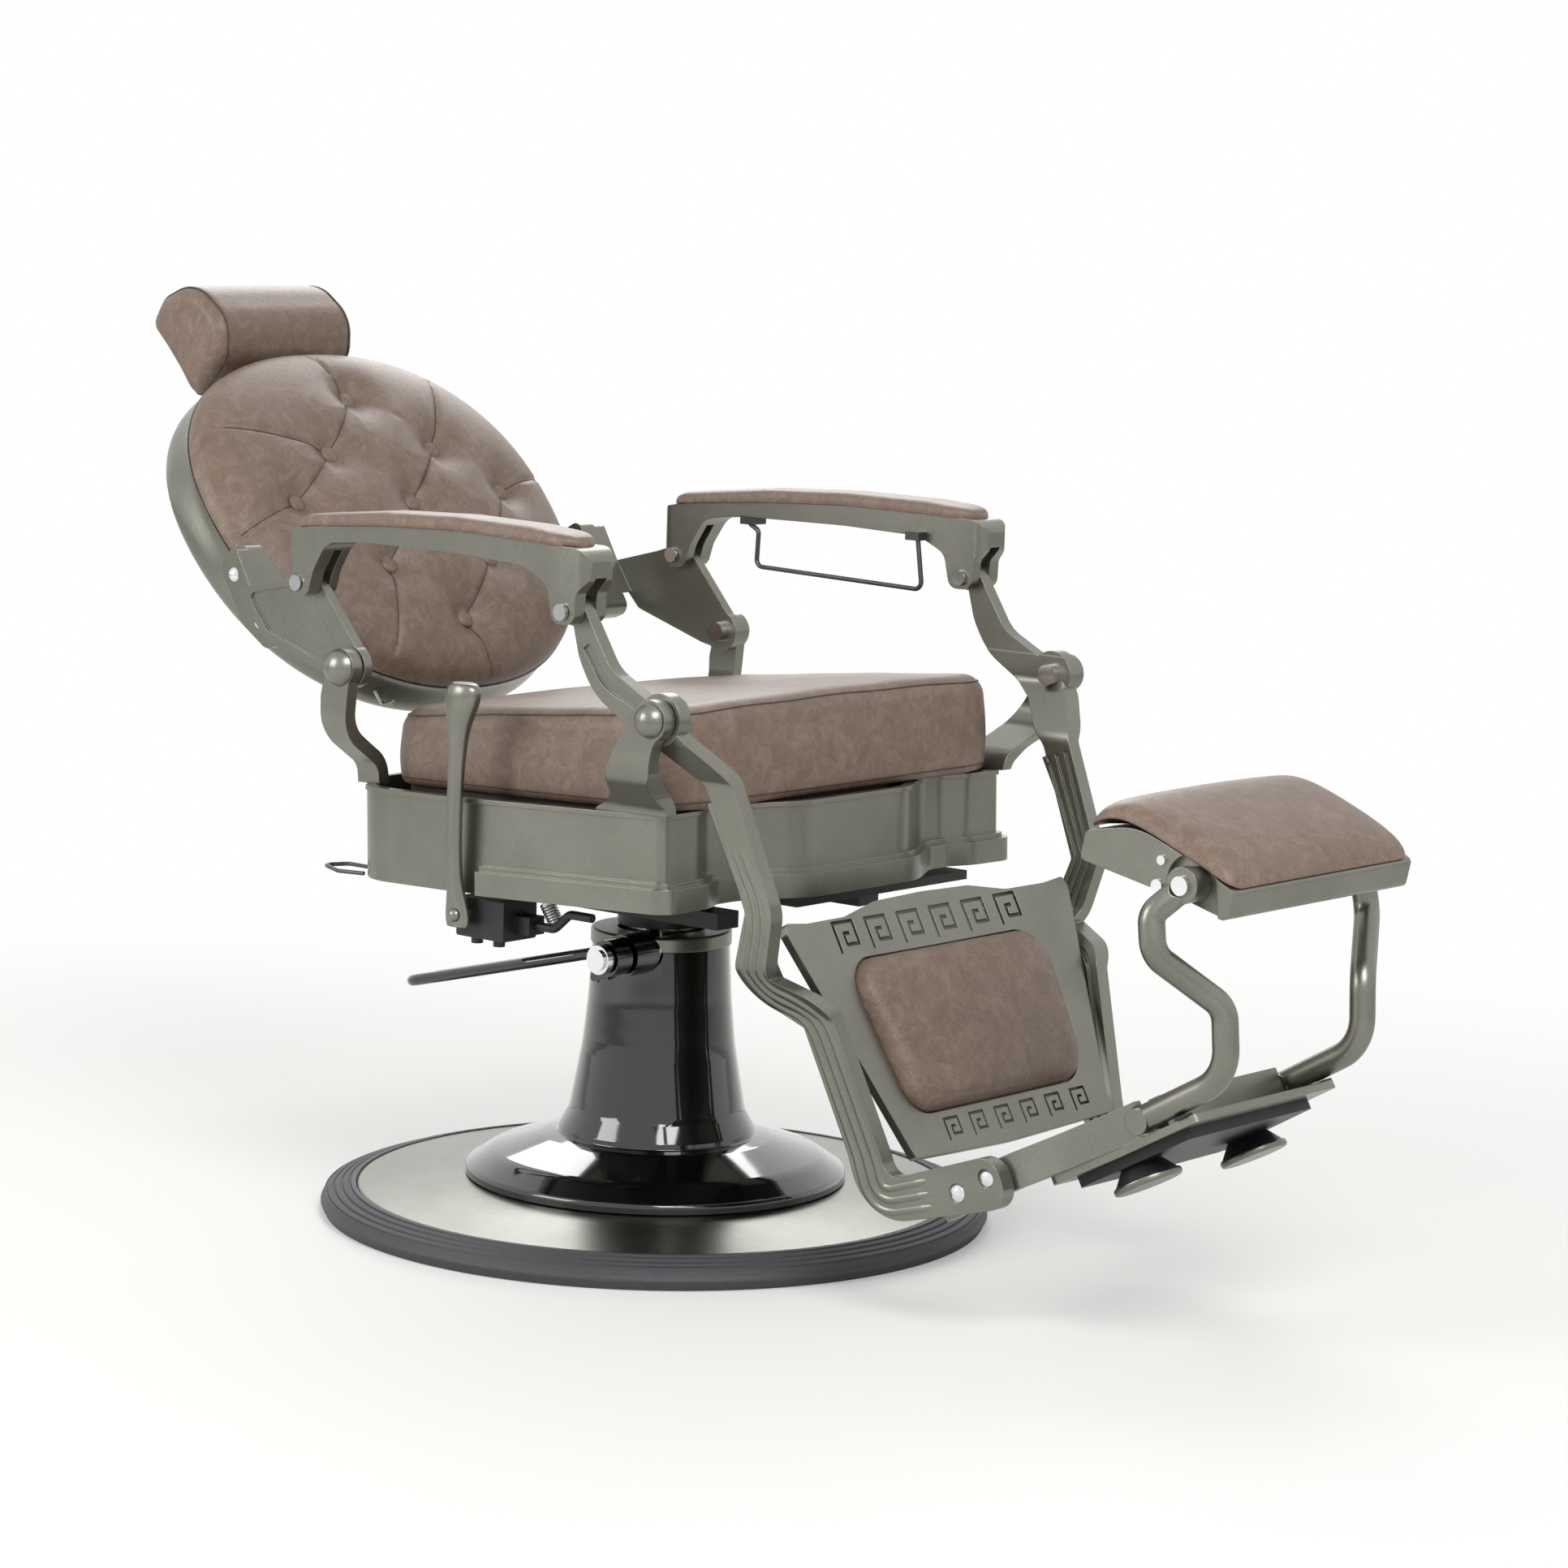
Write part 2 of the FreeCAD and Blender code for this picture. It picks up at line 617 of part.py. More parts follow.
def make_recline_lever():
    housing = box("housing_block", -284, -236, -40, 24, 322, 362)
    nose = box("housing_nose", -268, -246, -60, -36, 330, 348)
    studs = [rod_z("housing_stud_%d" % i, 6, -266, y, 314, 326) for i, y in enumerate((12, -18))]
    lift_hole = rod_x("housing_hole", 6 + FIT, -290, -230, 10, 346)
    housing_body = rounded("housing_soft", fuse("housing_raw", housing, nose), 2.5,
                           lambda e: e.Length > 30 and e.BoundBox.ZMax < 325)
    tool = extrude("housing_tool", sketch("housing_tool_plan", mirror_outline(
        [(0, -400, 0), (400, -400, 0), (400, 400, 0), (0, 400, 0)]), PLAN_VIEW,
        Vector(0, 0, -V["apron_height"] - 0.02)), 300)
    moved(tool, SEAT)
    node("recline_housing", cut("housing_cut", fuse("housing_all", housing_body, *studs),
                                lift_hole, tool))
    rod = tube("link_rod", [(-60, 339, 0), (-84, 339, 12), (-104, 356, 12), (-134, 356, 0)], 4.5,
               SIDE_VIEW, Vector(-257, 0, 0))
    node("recline_rod", cut("rod_trim", rod, box("rod_tool", -300, -200, -60.05, -30, 300, 360)))

    sections = []
    for i, (z, y, x, a, b) in enumerate([
        (579, 0, -305, 12, 9), (572, 0, -305, 20, 13), (556, 2, -305, 19, 13),
        (534, 6, -304, 13, 10), (508, 9, -303, 10, 8), (465, 12, -302, 9, 7),
        (410, 13, -301, 9, 7), (375, 13, -298, 10, 7), (352, 12, -296, 14, 7), (334, 11, -296, 13, 7),
    ]):
        sections.append(ellipse("lever_ring_%d" % i, b, a, Placement(Vector(x, y, z), Rotation())))
    blade = lofted("lever_loft", sections)
    pin = rod_x("lever_pin", 6, -300, -232, 10, 346)
    node("recline_lever", fuse("lever_raw", blade, pin))
    node("lever_bolt", domed_cap("lever_bolt_raw", 0, 5, 7, 0, 0),
         Placement(Vector(-303.1, 10, 346), Rotation(Vector(0, 0, 1), 180)))

    # close-wound coils turned as one ribbed sleeve
    pitch, coils, wire_out, groove, bore = 3.2, 9, 7.9, 6.9, 6.1
    profile = [(bore, 0, 0), (groove, 0, 0)]
    for i in range(coils):
        z = pitch * i
        profile += [(wire_out, z + 0.3, 0.7), (wire_out, z + pitch - 0.3, 0.7), (groove, z + pitch, 0)]
    profile.append((bore, pitch * coils, 0))
    node("recline_spring", lathe("spring_coils", profile),
         Placement(Vector(-243, -76, 338), Rotation(ABOUT_X, -35)))


# Back
BACK = frame(V["back_y"], V["back_z"], -V["back_lean"])
# back buttons as (x, height) in the frame of the back: a diamond lattice
BUTTONS = [(0, 138), (-79, 64), (79, 64), (-155, 8), (0, -6), (155, 8), (-77, -80), (77, -80), (0, -150)]


def egg_ring(name, a, b, back):
    """One closed ring of the back outline: a superellipse a little wider at its top."""
    power = 2 / V["roundness"]
    points = []
    for i in range(32):
        turn = 2 * math.pi * (i + 0.5) / 32
        c, s = math.cos(turn), math.sin(turn)
        x = math.copysign(abs(c) ** power, c)
        z = math.copysign(abs(s) ** power, s)
        points.append(Vector(a * x * (1 + 0.04 * z), back, b * z))
    curve = Part.BSplineCurve()
    curve.interpolate(Points=points, PeriodicFlag=True)
    ring = doc.addObject("Part::Feature", name)
    ring.Shape = Part.Wire([curve.toShape()])
    return ring


def shell_loft(name, grow, depth, start):
    a, b = V["shell_half"] + grow, V["shell_tall"] + grow
    steps = [(start, 1.0), (0.5 * depth, 1.0), (0.75 * depth, 0.985), (0.92 * depth, 0.93),
             (depth, 0.84)]
    return lofted(name, [egg_ring("%s_ring_%d" % (name, i), a * scale, b * scale, back)
                         for i, (back, scale) in enumerate(steps)])


def pillow_height(x, h):
    """How far the back cushion stands in front of the shell rim."""
    n = V["roundness"]
    rest = 1 - abs(x / 249.8) ** n - abs(h / 218.1) ** n
    return V["pillow_rise"] * max(0.0, rest) ** (1 / n)


def make_back():
    depth = V["shell_depth"]
    outside = shell_loft("shell_out", 0, depth, 0)
    inside = shell_loft("shell_in", -V["shell_wall"], depth - V["shell_wall"], -2)
    shell = cut("shell_cut", outside, inside)
    node("back_shell", shell, BACK)

    n = V["roundness"]
    rings = []
    for i, share in enumerate((0.0, 0.3, 0.55, 0.75, 0.9, 0.97, 0.995)):
        scale = (1 - share ** n) ** (1 / n)
        rings.append(egg_ring("pillow_ring_%d" % i, 249.8 * scale, 218.1 * scale,
                              -1.0 - share * (V["pillow_rise"] - 1)))
    dome = lofted("pillow_dome", rings)
    edge = shell_loft("pillow_edge", -V["shell_wall"] - 0.6, 14, -6)
    tufts = []
    for i, (x, h) in enumerate(BUTTONS):
        ball = doc.addObject("Part::Sphere", "tuft_%d" % i)
        ball.Radius = 30
        ball.Placement.Base = Vector(x, V["tuft_depth"] - 30 - pillow_height(x, h), h)
        tufts.append(ball)
    node("back_cushion", cut("pillow_tufted", fuse("pillow_raw", dome, edge), *tufts), BACK)

    # side plates: a flat plate with two eyes and a flange that meets the shell
    py, pz = V["rear_pivot_y"], V["rear_pivot_z"]
    ay, az = V["arm_rear_y"], V["arm_rear_z"]
    plate = extrude("plate_solid", sketch("plate_outline", [
        (338, 642, 5), (266, 660, 30), (ay, az + 12, 10), (221, 667, 7), (156, 592, 22),
        (158, 556, 22), (198, 564, 20), (292, 594, 10)], SIDE_VIEW, Vector(282, 0, 0)), 11)
    eyes = [rod_x("plate_eye_low", 22, 282, 293, py, pz), rod_x("plate_eye_top", 13, 282, 293, ay, az)]
    flange = extrude("flange_solid", sketch("flange_outline", [
        (352, 690, 12), (392, 668, 20), (352, 602, 14), (318, 580, 14), (290, 592, 12),
        (328, 648, 20)], SIDE_VIEW, Vector(232, 0, 0)), 51)
    rim = V["shell_half"] + 0.4, V["shell_tall"] + 0.4
    mouth = lofted("flange_mouth", [egg_ring("mouth_ring_%d" % i, rim[0], rim[1], back)
                                    for i, back in enumerate((-80, 1))])
    shell_tool = fuse("flange_tool", mouth, shell_loft("flange_hollow", 0.3, depth, 0))
    moved(shell_tool, BACK)
    step = extrude("flange_step", sketch("flange_step_outline", [
        (352, 700, 0), (410, 668, 0), (352, 590, 0), (300, 560, 0), (286, 597, 0), (338, 640, 0)],
        SIDE_VIEW, Vector(267, 0, 0)), 40)
    flange_cut = cut("flange_cut", flange, shell_tool, step)
    holes = [rod_x("plate_hole_low", V["pin_radius"] + FIT, 260, 320, py, pz),
             rod_x("plate_hole_top", V["bolt_radius"] + FIT, 260, 320, ay, az)]
    panel = extrude("plate_recess", sketch("plate_recess_outline", [
        (320, 640, 6), (262, 652, 12), (228, 644, 8), (186, 596, 12), (214, 580, 12),
        (290, 604, 8)], SIDE_VIEW, Vector(290.5, 0, 0)), 4)
    body = cut("plate_bored", fuse("plate_all", plate, flange_cut, *eyes), panel, *holes)
    both_sides("side_plate", body)

    heads = []
    for i, (y, z) in enumerate(((368, 654), (329, 608))):
        heads.append(domed_cap("shell_bolt_%d" % i, 267.1, 271, 7.5, y, z))
    heads += [mirrored("shell_bolt_mirror_%d" % i, h) for i, h in enumerate(heads)]
    node("shell_bolts", compound("shell_bolts_raw", *heads))

    hook = tube("hook_bar", [(26, -190, 0), (26, -214, 6), (10, -220, 0)], 2.5, SIDE_VIEW,
                Vector(-120, 0, 0))
    node("back_hook", cut("hook_cut", hook, shell_loft("hook_tool", 0.1, depth, 0)), BACK)

    # headrest: socket on the shell, tongue and plate that slide in it, and the pad
    near, far = depth + 12, depth + 18
    tongue = box("tongue_bar", -24, 24, near, far, 40, 250)
    socket = cut("socket_cut",
                 box("socket_block", -36, 36, depth - 6, far + 8, 70, 150),
                 box("socket_slot", -24 - FIT, 24 + FIT, near - FIT, far + FIT, 60, 160),
                 shell_loft("socket_tool", 0.05, depth + 0.05, -40))
    knob = fuse("knob_raw", rod_x("knob_stem", 5, 36, 46, near + 3, 110),
                rod_x("knob_head", 13, 46, 58, near + 3, 110))
    node("headrest_socket", fuse("socket_all", socket, knob), BACK)
    support = extrude("support_plate", sketch("support_outline", [
        (71.3, 226, 0), (75.9, 326, 0), (79.9, 326, 4), (75.3, 226, 4)], SIDE_VIEW,
        Vector(-70, 0, 0)), 140)
    node("headrest_stem", fuse("stem_raw", tongue, box("stem_foot", -24, 24, 74, far, 232, 246),
                               support), BACK)
    half = V["head_half"]
    pad = extrude("head_solid", sketch("head_outline", [
        (71, 221, 10), (76, 330, 14), (46, 341, 26), (-4, 326, 50), (-20, 262, 40), (8, 231, 26)],
        SIDE_VIEW, Vector(-half, 0, 0)), 2 * half, LengthFwd="2 * sizes.head_half")
    node("headrest_pad", rounded("head_soft", pad, 6, lambda e: abs(abs(e.CenterOfMass.x) - half) < 1),
         BACK)

    pads = []
    for i, (x, h) in enumerate(BUTTONS):
        flat = doc.addObject("Part::Ellipsoid", "button_%d" % i)
        flat.Radius1, flat.Radius2, flat.Radius3 = 11, 11, 4.5
        flat.Angle1, flat.Angle2, flat.Angle3 = -90, 90, 360
        flat.Placement.Base = Vector(x, V["tuft_depth"] - 5 - pillow_height(x, h), h)
        pads.append(flat)
    node("back_buttons", compound("buttons_raw", *pads), BACK)


# Armrests
def arm_plan(name, extra, y0, y1, base_z):
    """Plan of one armrest: slants outward to the front; extra widens it."""
    pts = [(308 + extra, y1, 12), (334 + extra, -150, 300), (333 + extra, y0, 16),
           (289 - extra, y0, 16), (288 - extra, -150, 300), (268 - extra, y1, 12)]
    return sketch(name, pts, PLAN_VIEW, Vector(0, 0, base_z))


def make_armrests():
    ay, az = V["arm_rear_y"], V["arm_rear_z"]
    by, bz = V["arm_front_y"], V["arm_front_z"]
    side = extrude("arm_side", sketch("arm_side_outline", [
        (247, 712, 9), (216, 718, 30), (105, 726, 600), (0, 730, 600), (-103, 728, 500),
        (-172, 726, 60), (-185, 717, 9), (-183, 695, 10), (-171, 682, 10), (-170, bz - 12, 12),
        (-141, bz - 12, 12), (-133, 688, 18), (-100, 704, 60), (0, 708, 500), (130, 708, 200),
        (188, 703, 26), (208, 672, 24), (216, az - 13, 12), (248, az - 13, 12)],
        SIDE_VIEW, Vector(240, 0, 0)), 120)
    plan = extrude("arm_plan_solid", arm_plan("arm_plan_outline", 0, -186, 248, 600), 200)
    slots = [box("arm_slot_rear", 281.4, 293.6, 180, 300, 600, 694),
             box("arm_slot_front", 302.4, 318.6, -300, -110, 600, 697)]
    bolt = V["bolt_radius"] + FIT
    holes = [rod_x("arm_hole_rear", bolt, 240, 340, ay, az),
             rod_x("arm_hole_front", bolt, 240, 360, by, bz)]
    spots = [rod_x("arm_spot_rear_out", 9, 308, 350, ay, az),
             rod_x("arm_spot_rear_in", 9, 240, 268, ay, az),
             rod_x("arm_spot_front_out", 9, 334.35, 350, by, bz),
             rod_x("arm_spot_front_in", 9, 240, 287.65, by, bz)]
    body = cut("arm_bored", common("arm_block", side, plan), *(slots + holes + spots))
    both_sides("armrest", body)

    pad_side = extrude("pad_side", sketch("pad_side_outline", [
        (216, 718.4, 30), (105, 726.4, 600), (0, 730.4, 600), (-103, 728.4, 500),
        (-160, 726.9, 60), (-166, 726.8, 0), (-166, 730, 2), (-150, 736, 40), (-103, 740, 600),
        (0, 742, 600), (105, 738, 600), (210, 728, 40), (233, 722, 6), (233, 715.4, 0)],
        SIDE_VIEW, Vector(240, 0, 0)), 120)
    pad_plan = extrude("pad_plan_solid", arm_plan("pad_plan_outline", 3, -168, 234, 600), 200)
    both_sides("armrest_pad", common("pad_block", pad_side, pad_plan))
    r = V["bolt_radius"]
    both_sides("arm_bolts", compound(
        "arm_bolts_raw", bolt_x("arm_bolt_rear", r, 268 - 0.05, 308.05, ay, az, 8, 4),
        bolt_x("arm_bolt_front", r, 287.6, 334.4, by, bz, 8, 4)))

    # towel bar under the sitter's left armrest
    wire = tube("towel_wire", [
        (136, 712, 0), (128, 700, 8), (116, 694, 6), (118, 655, 8), (-112, 648, 8), (-104, 706, 0),
    ], 2.6, SIDE_VIEW, Vector(278, 0, 0))
    tabs = [box("towel_tab_%d" % i, 273, 296, y - 9, y + 9, 700, 709) for i, y in
            enumerate((130, -100))]
    arm_tool = common("towel_tool", extrude("towel_tool_side", sketch(
        "towel_tool_outline", [(247, 712, 9), (216, 718, 30), (105, 726, 600), (0, 730, 600),
                               (-103, 728, 500), (-172, 726, 60), (-185, 717, 9), (-133, 688, 18),
                               (-100, 704, 60), (0, 708, 500), (130, 708, 200), (188, 703, 26)],
        SIDE_VIEW, Vector(230, 0, 0)), 140),
        extrude("towel_tool_plan_solid", arm_plan("towel_tool_plan", 0.02, -186, 248, 600), 200))
    node("towel_bar", cut("towel_cut", fuse("towel_raw", wire, *tabs), arm_tool))


# Leg frame
# side view of the link: y, z, corner radius and half width there
LINK_SIDE = [
    (-155, 663.7, 0, 14), (-193, 600, 60, 16), (-262, 561, 40, 19), (-307, 511, 40, 16),
    (-356, 390, 22, 16), (-334, 314, 20, 19), (-390, 292, 20, 19.5), (-449, 115, 36, 20),
    (-598, 161, 20, 26),
]
LINK_FRONT = [
    (310.5, 720, 0), (310.5, 558, 20), (268, 512, 20), (261, 385, 200), (254, 338, 20),
    (214, 293, 20), (188, 160, 80), (183, 60, 0),
]


def link_line(share):
    """The centre line of the link moved towards its rear edge (1) or its front edge (-1)."""
    path = [(y, z, radius) for y, z, radius, half in LINK_SIDE]
    return offset_path(path, [share * half for y, z, radius, half in LINK_SIDE])


FOOT_BOLTS = ((-546, 141), (-580, 161))


def make_link():
    thick = V["link_thick"]
    by, bz = V["arm_front_y"], V["arm_front_z"]
    py, pz = V["front_pivot_y"], V["front_pivot_z"]
    side = extrude("link_side", sketch("link_side_outline", link_line(1) + link_line(-1)[::-1],
                                       SIDE_VIEW, Vector(140, 0, 0)), 240)
    slim = extrude("link_slim", sketch("link_slim_outline", [
        (by + 14, bz + 40, 0), (by + 60, bz + 40, 0), (by + 60, 590, 0), (-186, 575, 0),
        (by - 8, 622, 40)], SIDE_VIEW, Vector(140, 0, 0)), 240)
    front = extrude("link_front", sketch("link_front_outline", band(LINK_FRONT, thick), FRONT_VIEW,
                                         Vector(0, 0, 0)), 800)
    blank = common("link_blank", cut("link_side_cut", side, slim), front)
    ears = [rod_x("link_ear", 14, 303, 318, by, bz), rod_x("link_boss", 25, 302, 318.5, py, pz)]
    shaved = cut("link_shaved", fuse("link_raw", blank, *ears),
                 box("link_shave_out", 318, 340, -400, 0, 540, 800),
                 box("link_shave_in", 280, 303, -400, 0, 590, 800))
    depth, groove = V["groove_depth"], V["groove_width"]
    skin = extrude("link_skin", sketch("link_skin_outline", band(
        LINK_FRONT, depth + 4, -(thick / 2 - depth / 2 + 2)), FRONT_VIEW, Vector(0, 0, 0)), 800)
    zone = box("flute_zone", 140, 303, -620, -250, 60, 560)
    flutes = []
    for i, share in enumerate((-0.5, 0, 0.5)):
        run = link_line(share)[3:-1]
        start = (run[0][0] - 4 + 8 * share, run[0][1] - 16, 0)
        stop = (-522 + 6 * share, 134 - 34 * share, 0)
        run = [start] + run[1:] + [stop]
        flutes.append(extrude("flute_%d" % i, sketch(
            "flute_outline_%d" % i, band(run, groove), SIDE_VIEW, Vector(140, 0, 0)), 200))
    slot = extrude("upper_flute", sketch("upper_flute_outline", band(
        [(-172, 632, 0), (-197, 598, 50), (-238, 582, 0)], 9), SIDE_VIEW, Vector(315.5, 0, 0)), 8)
    carved = cut("link_carved", shaved, common("flutes_cut", fuse("flutes_all", *flutes), skin), slot)
    holes = [rod_x("link_hole_pivot", V["pin_radius"] + FIT, 280, 340, py, pz),
             rod_x("link_hole_open", V["bolt_radius"] + V["open_gap"], 280, 340, by, bz)]
    for i, (y, z) in enumerate(FOOT_BOLTS):
        holes.append(rod_x("link_hole_foot_%d" % i, 6 + FIT, 150, 220, y, z))
        holes.append(rod_x("link_spot_foot_%d" % i, 9.3, 194.55, 230, y, z))
    holes.append(rod_x("link_spot_pivot", 11.4, 260, 302, py, pz))
    both_sides("front_link", cut("link_bored", carved, *holes))

    bolts = []
    for i, (y, z) in enumerate(FOOT_BOLTS):
        stem = rod_x("foot_stem_%d" % i, 6, 160, 195, y, z)
        bolts.append(fuse("foot_bolt_%d" % i, stem, domed_cap("foot_cap_%d" % i, 194.6, 199, 9, y, z)))
    bolts += [mirrored("foot_bolt_mirror_%d" % i, b) for i, b in enumerate(bolts)]
    node("link_bolts", compound("link_bolts_raw", *bolts))


PANEL = frame(-470, 157, -V["panel_tilt"])


def key_unit(x, z, s):
    """One unit of the key border: a squared spiral drawn as one closed outline, s = stroke."""
    path = [(0, 0), (0, 8), (8, 8), (8, 2), (3.2, 2), (3.2, 5), (5.6, 5)]
    centre = [(x + a * s, z + b * s, 0) for a, b in path]
    return band(centre, s * 0.95)


def make_calf_panel():
    thick = V["panel_thick"]
    outline = [
        (-158, 0, 4), (0, -4, 600), (158, 0, 4), (226, 238, 5), (222, 249, 5), (190, 246, 30),
        (130, 247, 40), (75, 258, 60), (0, 260, 300), (-75, 258, 60), (-130, 247, 40),
        (-190, 246, 30), (-222, 249, 5), (-226, 238, 5),
    ]
    plate = extrude("panel_flat", sketch("panel_outline", outline, FRONT_VIEW, Vector(0, 50, 0)), 100)
    radius = 3600.0
    hollow = rod_z("panel_front_bend", radius, 0, -radius + 6, -60, 320)
    back = rod_z("panel_back_bend", radius + thick, 0, -radius + 6, -60, 320)
    slab = common("panel_slab", plate, cut("panel_bend", back, hollow))
    pocket = extrude("panel_pocket", sketch("pocket_outline", [
        (-139, 40, 34), (139, 40, 34), (156, 204, 36), (-156, 204, 36)], FRONT_VIEW,
        Vector(0, 6 + thick - 4, 0)), 60)
    units = []
    for i in range(6):
        units.append(extrude("key_top_%d" % i, sketch(
            "key_top_outline_%d" % i, key_unit(-152 + i * 52, 211, 3.9), FRONT_VIEW,
            Vector(0, 6 + V["key_depth"], 0)), 30))
        units.append(extrude("key_low_%d" % i, sketch(
            "key_low_outline_%d" % i, key_unit(-95 + i * 41, 10, 2.7), FRONT_VIEW,
            Vector(0, 6 + V["key_depth"], 0)), 30))
    panel = cut("panel_keyed", slab, pocket, fuse("keys", *units))
    node("calf_panel", panel, PANEL)
    pad_block = extrude("calf_block", sketch("calf_outline", [
        (-138, 41, 33), (138, 41, 33), (155, 203, 35), (-155, 203, 35)], FRONT_VIEW,
        Vector(0, 6 + thick - 4.3, 0)), 60)
    swell = doc.addObject("Part::Ellipsoid", "calf_swell")
    swell.Radius1, swell.Radius2, swell.Radius3 = 190, 320, 24
    swell.Angle1, swell.Angle2, swell.Angle3 = -90, 90, 360
    swell.Placement.Base = Vector(0, 8, 122)
    node("calf_pad", common("calf_soft", pad_block, swell), PANEL)


DECK = frame(-697, 226, -V["deck_tilt"])


def make_deck():
    """Platform: two side rims that close in towards the front, a front rail and a floor."""
    rim_path = [(168, 214, 0), (168, 126, 40), (139, 84, 60), (116, 30, 30), (113, 0, 0)]
    rim = extrude("rim_left", sketch("rim_outline", band(rim_path, 12), PLAN_VIEW,
                                     Vector(0, 0, -18)), 34)
    rear_trim = extrude("rim_trim", sketch("rim_trim_outline", [
        (150, -60, 0), (240, -60, 0), (240, 6, 0), (195, -6, 14), (140, -22, 30), (120, -18.2, 0)],
        SIDE_VIEW, Vector(100, 0, 0)), 100)
    front = box("front_rail", -113, 113, -14, -2, -18, 14)
    floor = extrude("deck_floor", sketch("floor_outline", mirror_outline([
        (0, -60, 0), (118, -60, 8), (122, 0, 20), (122, 30, 20), (140, 84, 40), (150, 104, 10),
        (0, 110, 0)]), PLAN_VIEW, Vector(0, 0, -26)), 8)
    rim_right = mirrored("rim_right", rim)
    sockets = []
    for i, x in enumerate((-117, 117)):
        block = box("socket_tool_%d" % i, x - 19, x + 19, -80, 0.0, -18.0, 60)
        sockets.append(block)
    raw = fuse("deck_raw", rim, rim_right, front, floor)
    trimmed = cut("deck_cut", raw, *sockets)
    knuckle = [moved(rod_x("knuckle_tool_%d" % i, V["tube_radius"] + 2.1, x - 19, x + 19, V["fold_y"],
                           V["fold_z"]), DECK.inverse()) for i, x in enumerate((-117, 117))]
    holes = knuckle
    for i, (y, z) in enumerate(FOOT_BOLTS):
        hole = rod_x("deck_hole_%d" % i, 6 + FIT, -220, 220, y, z)
        moved(hole, DECK.inverse())
        holes.append(hole)
    node("footrest_deck", cut("deck_bored", trimmed, *holes), DECK)

    keel = extrude("keel_solid", sketch("keel_outline", mirror_outline([
        (0, -34, 0), (104, -34, 8), (112, 30, 20), (120, 96, 8), (0, 100, 0)]), PLAN_VIEW,
        Vector(0, 0, -36)), 9.9)
    cones = []
    for i, x in enumerate((-88, 88)):
        cone = doc.addObject("Part::Cone", "foot_cone_%d" % i)
        cone.Radius1, cone.Radius2, cone.Height = 31, 17, 18
        cone.Placement.Base = Vector(x, 40, -50)
        cones.append(cone)
        cones.append(rod_z("foot_neck_%d" % i, 17, x, 40, -33, -30))
    node("foot_bracket", fuse("keel_raw", keel, *cones), DECK)
    discs = []
    for i, x in enumerate((-88, 88)):
        pad = rod_z("glide_disc_%d" % i, 34, x, 40, -57.5, -50.1)
        discs.append(pad)
    glides = [rounded("glide_soft_%d" % i, d, 3, lambda e: e.Length > 200)
              for i, d in enumerate(discs)]
    node("foot_glides", compound("glides_raw", *glides), DECK)


def make_s_arms():
    ty = V["foot_pivot_y"]
    tz = V["foot_pivot_z"]
    path = [(117, -699, 224.9, 0), (114, -789, 277, 44), (116, -785, 342, 28),
            (179, -747, 394, 26), (176, -741, 430, 18), (156, ty + 5, tz - 4, 0)]
    bar = tube("s_bar", path, V["tube_radius"])
    eye = rod_x("s_eye", 17, 142.8, 166, ty, tz)
    spot = rod_x("s_spot_face", 10.5, 166, 200, ty, tz)
    with_eye = doc.addObject("Part::Fuse", "s_with_eye")
    with_eye.Base, with_eye.Tool = bar, eye
    knuckle = rod_x("s_knuckle", V["tube_radius"], 104.6, 129.4, V["fold_y"], V["fold_z"])
    raw = doc.addObject("Part::Fuse", "s_raw")
    raw.Base, raw.Tool = with_eye, knuckle
    hole = rod_x("s_hole", 6 + FIT, 100, 180, ty, tz)
    both_sides("s_arm", cut("s_bored", raw, hole, spot))
    blocks = []
    for i, x in enumerate((-117, 117)):
        blocks.append(box("clip_%d" % i, x - 7, x + 7, -52, -40, -17.9, -14.9))
    node("arm_clips", compound("clips_raw", *blocks), DECK)


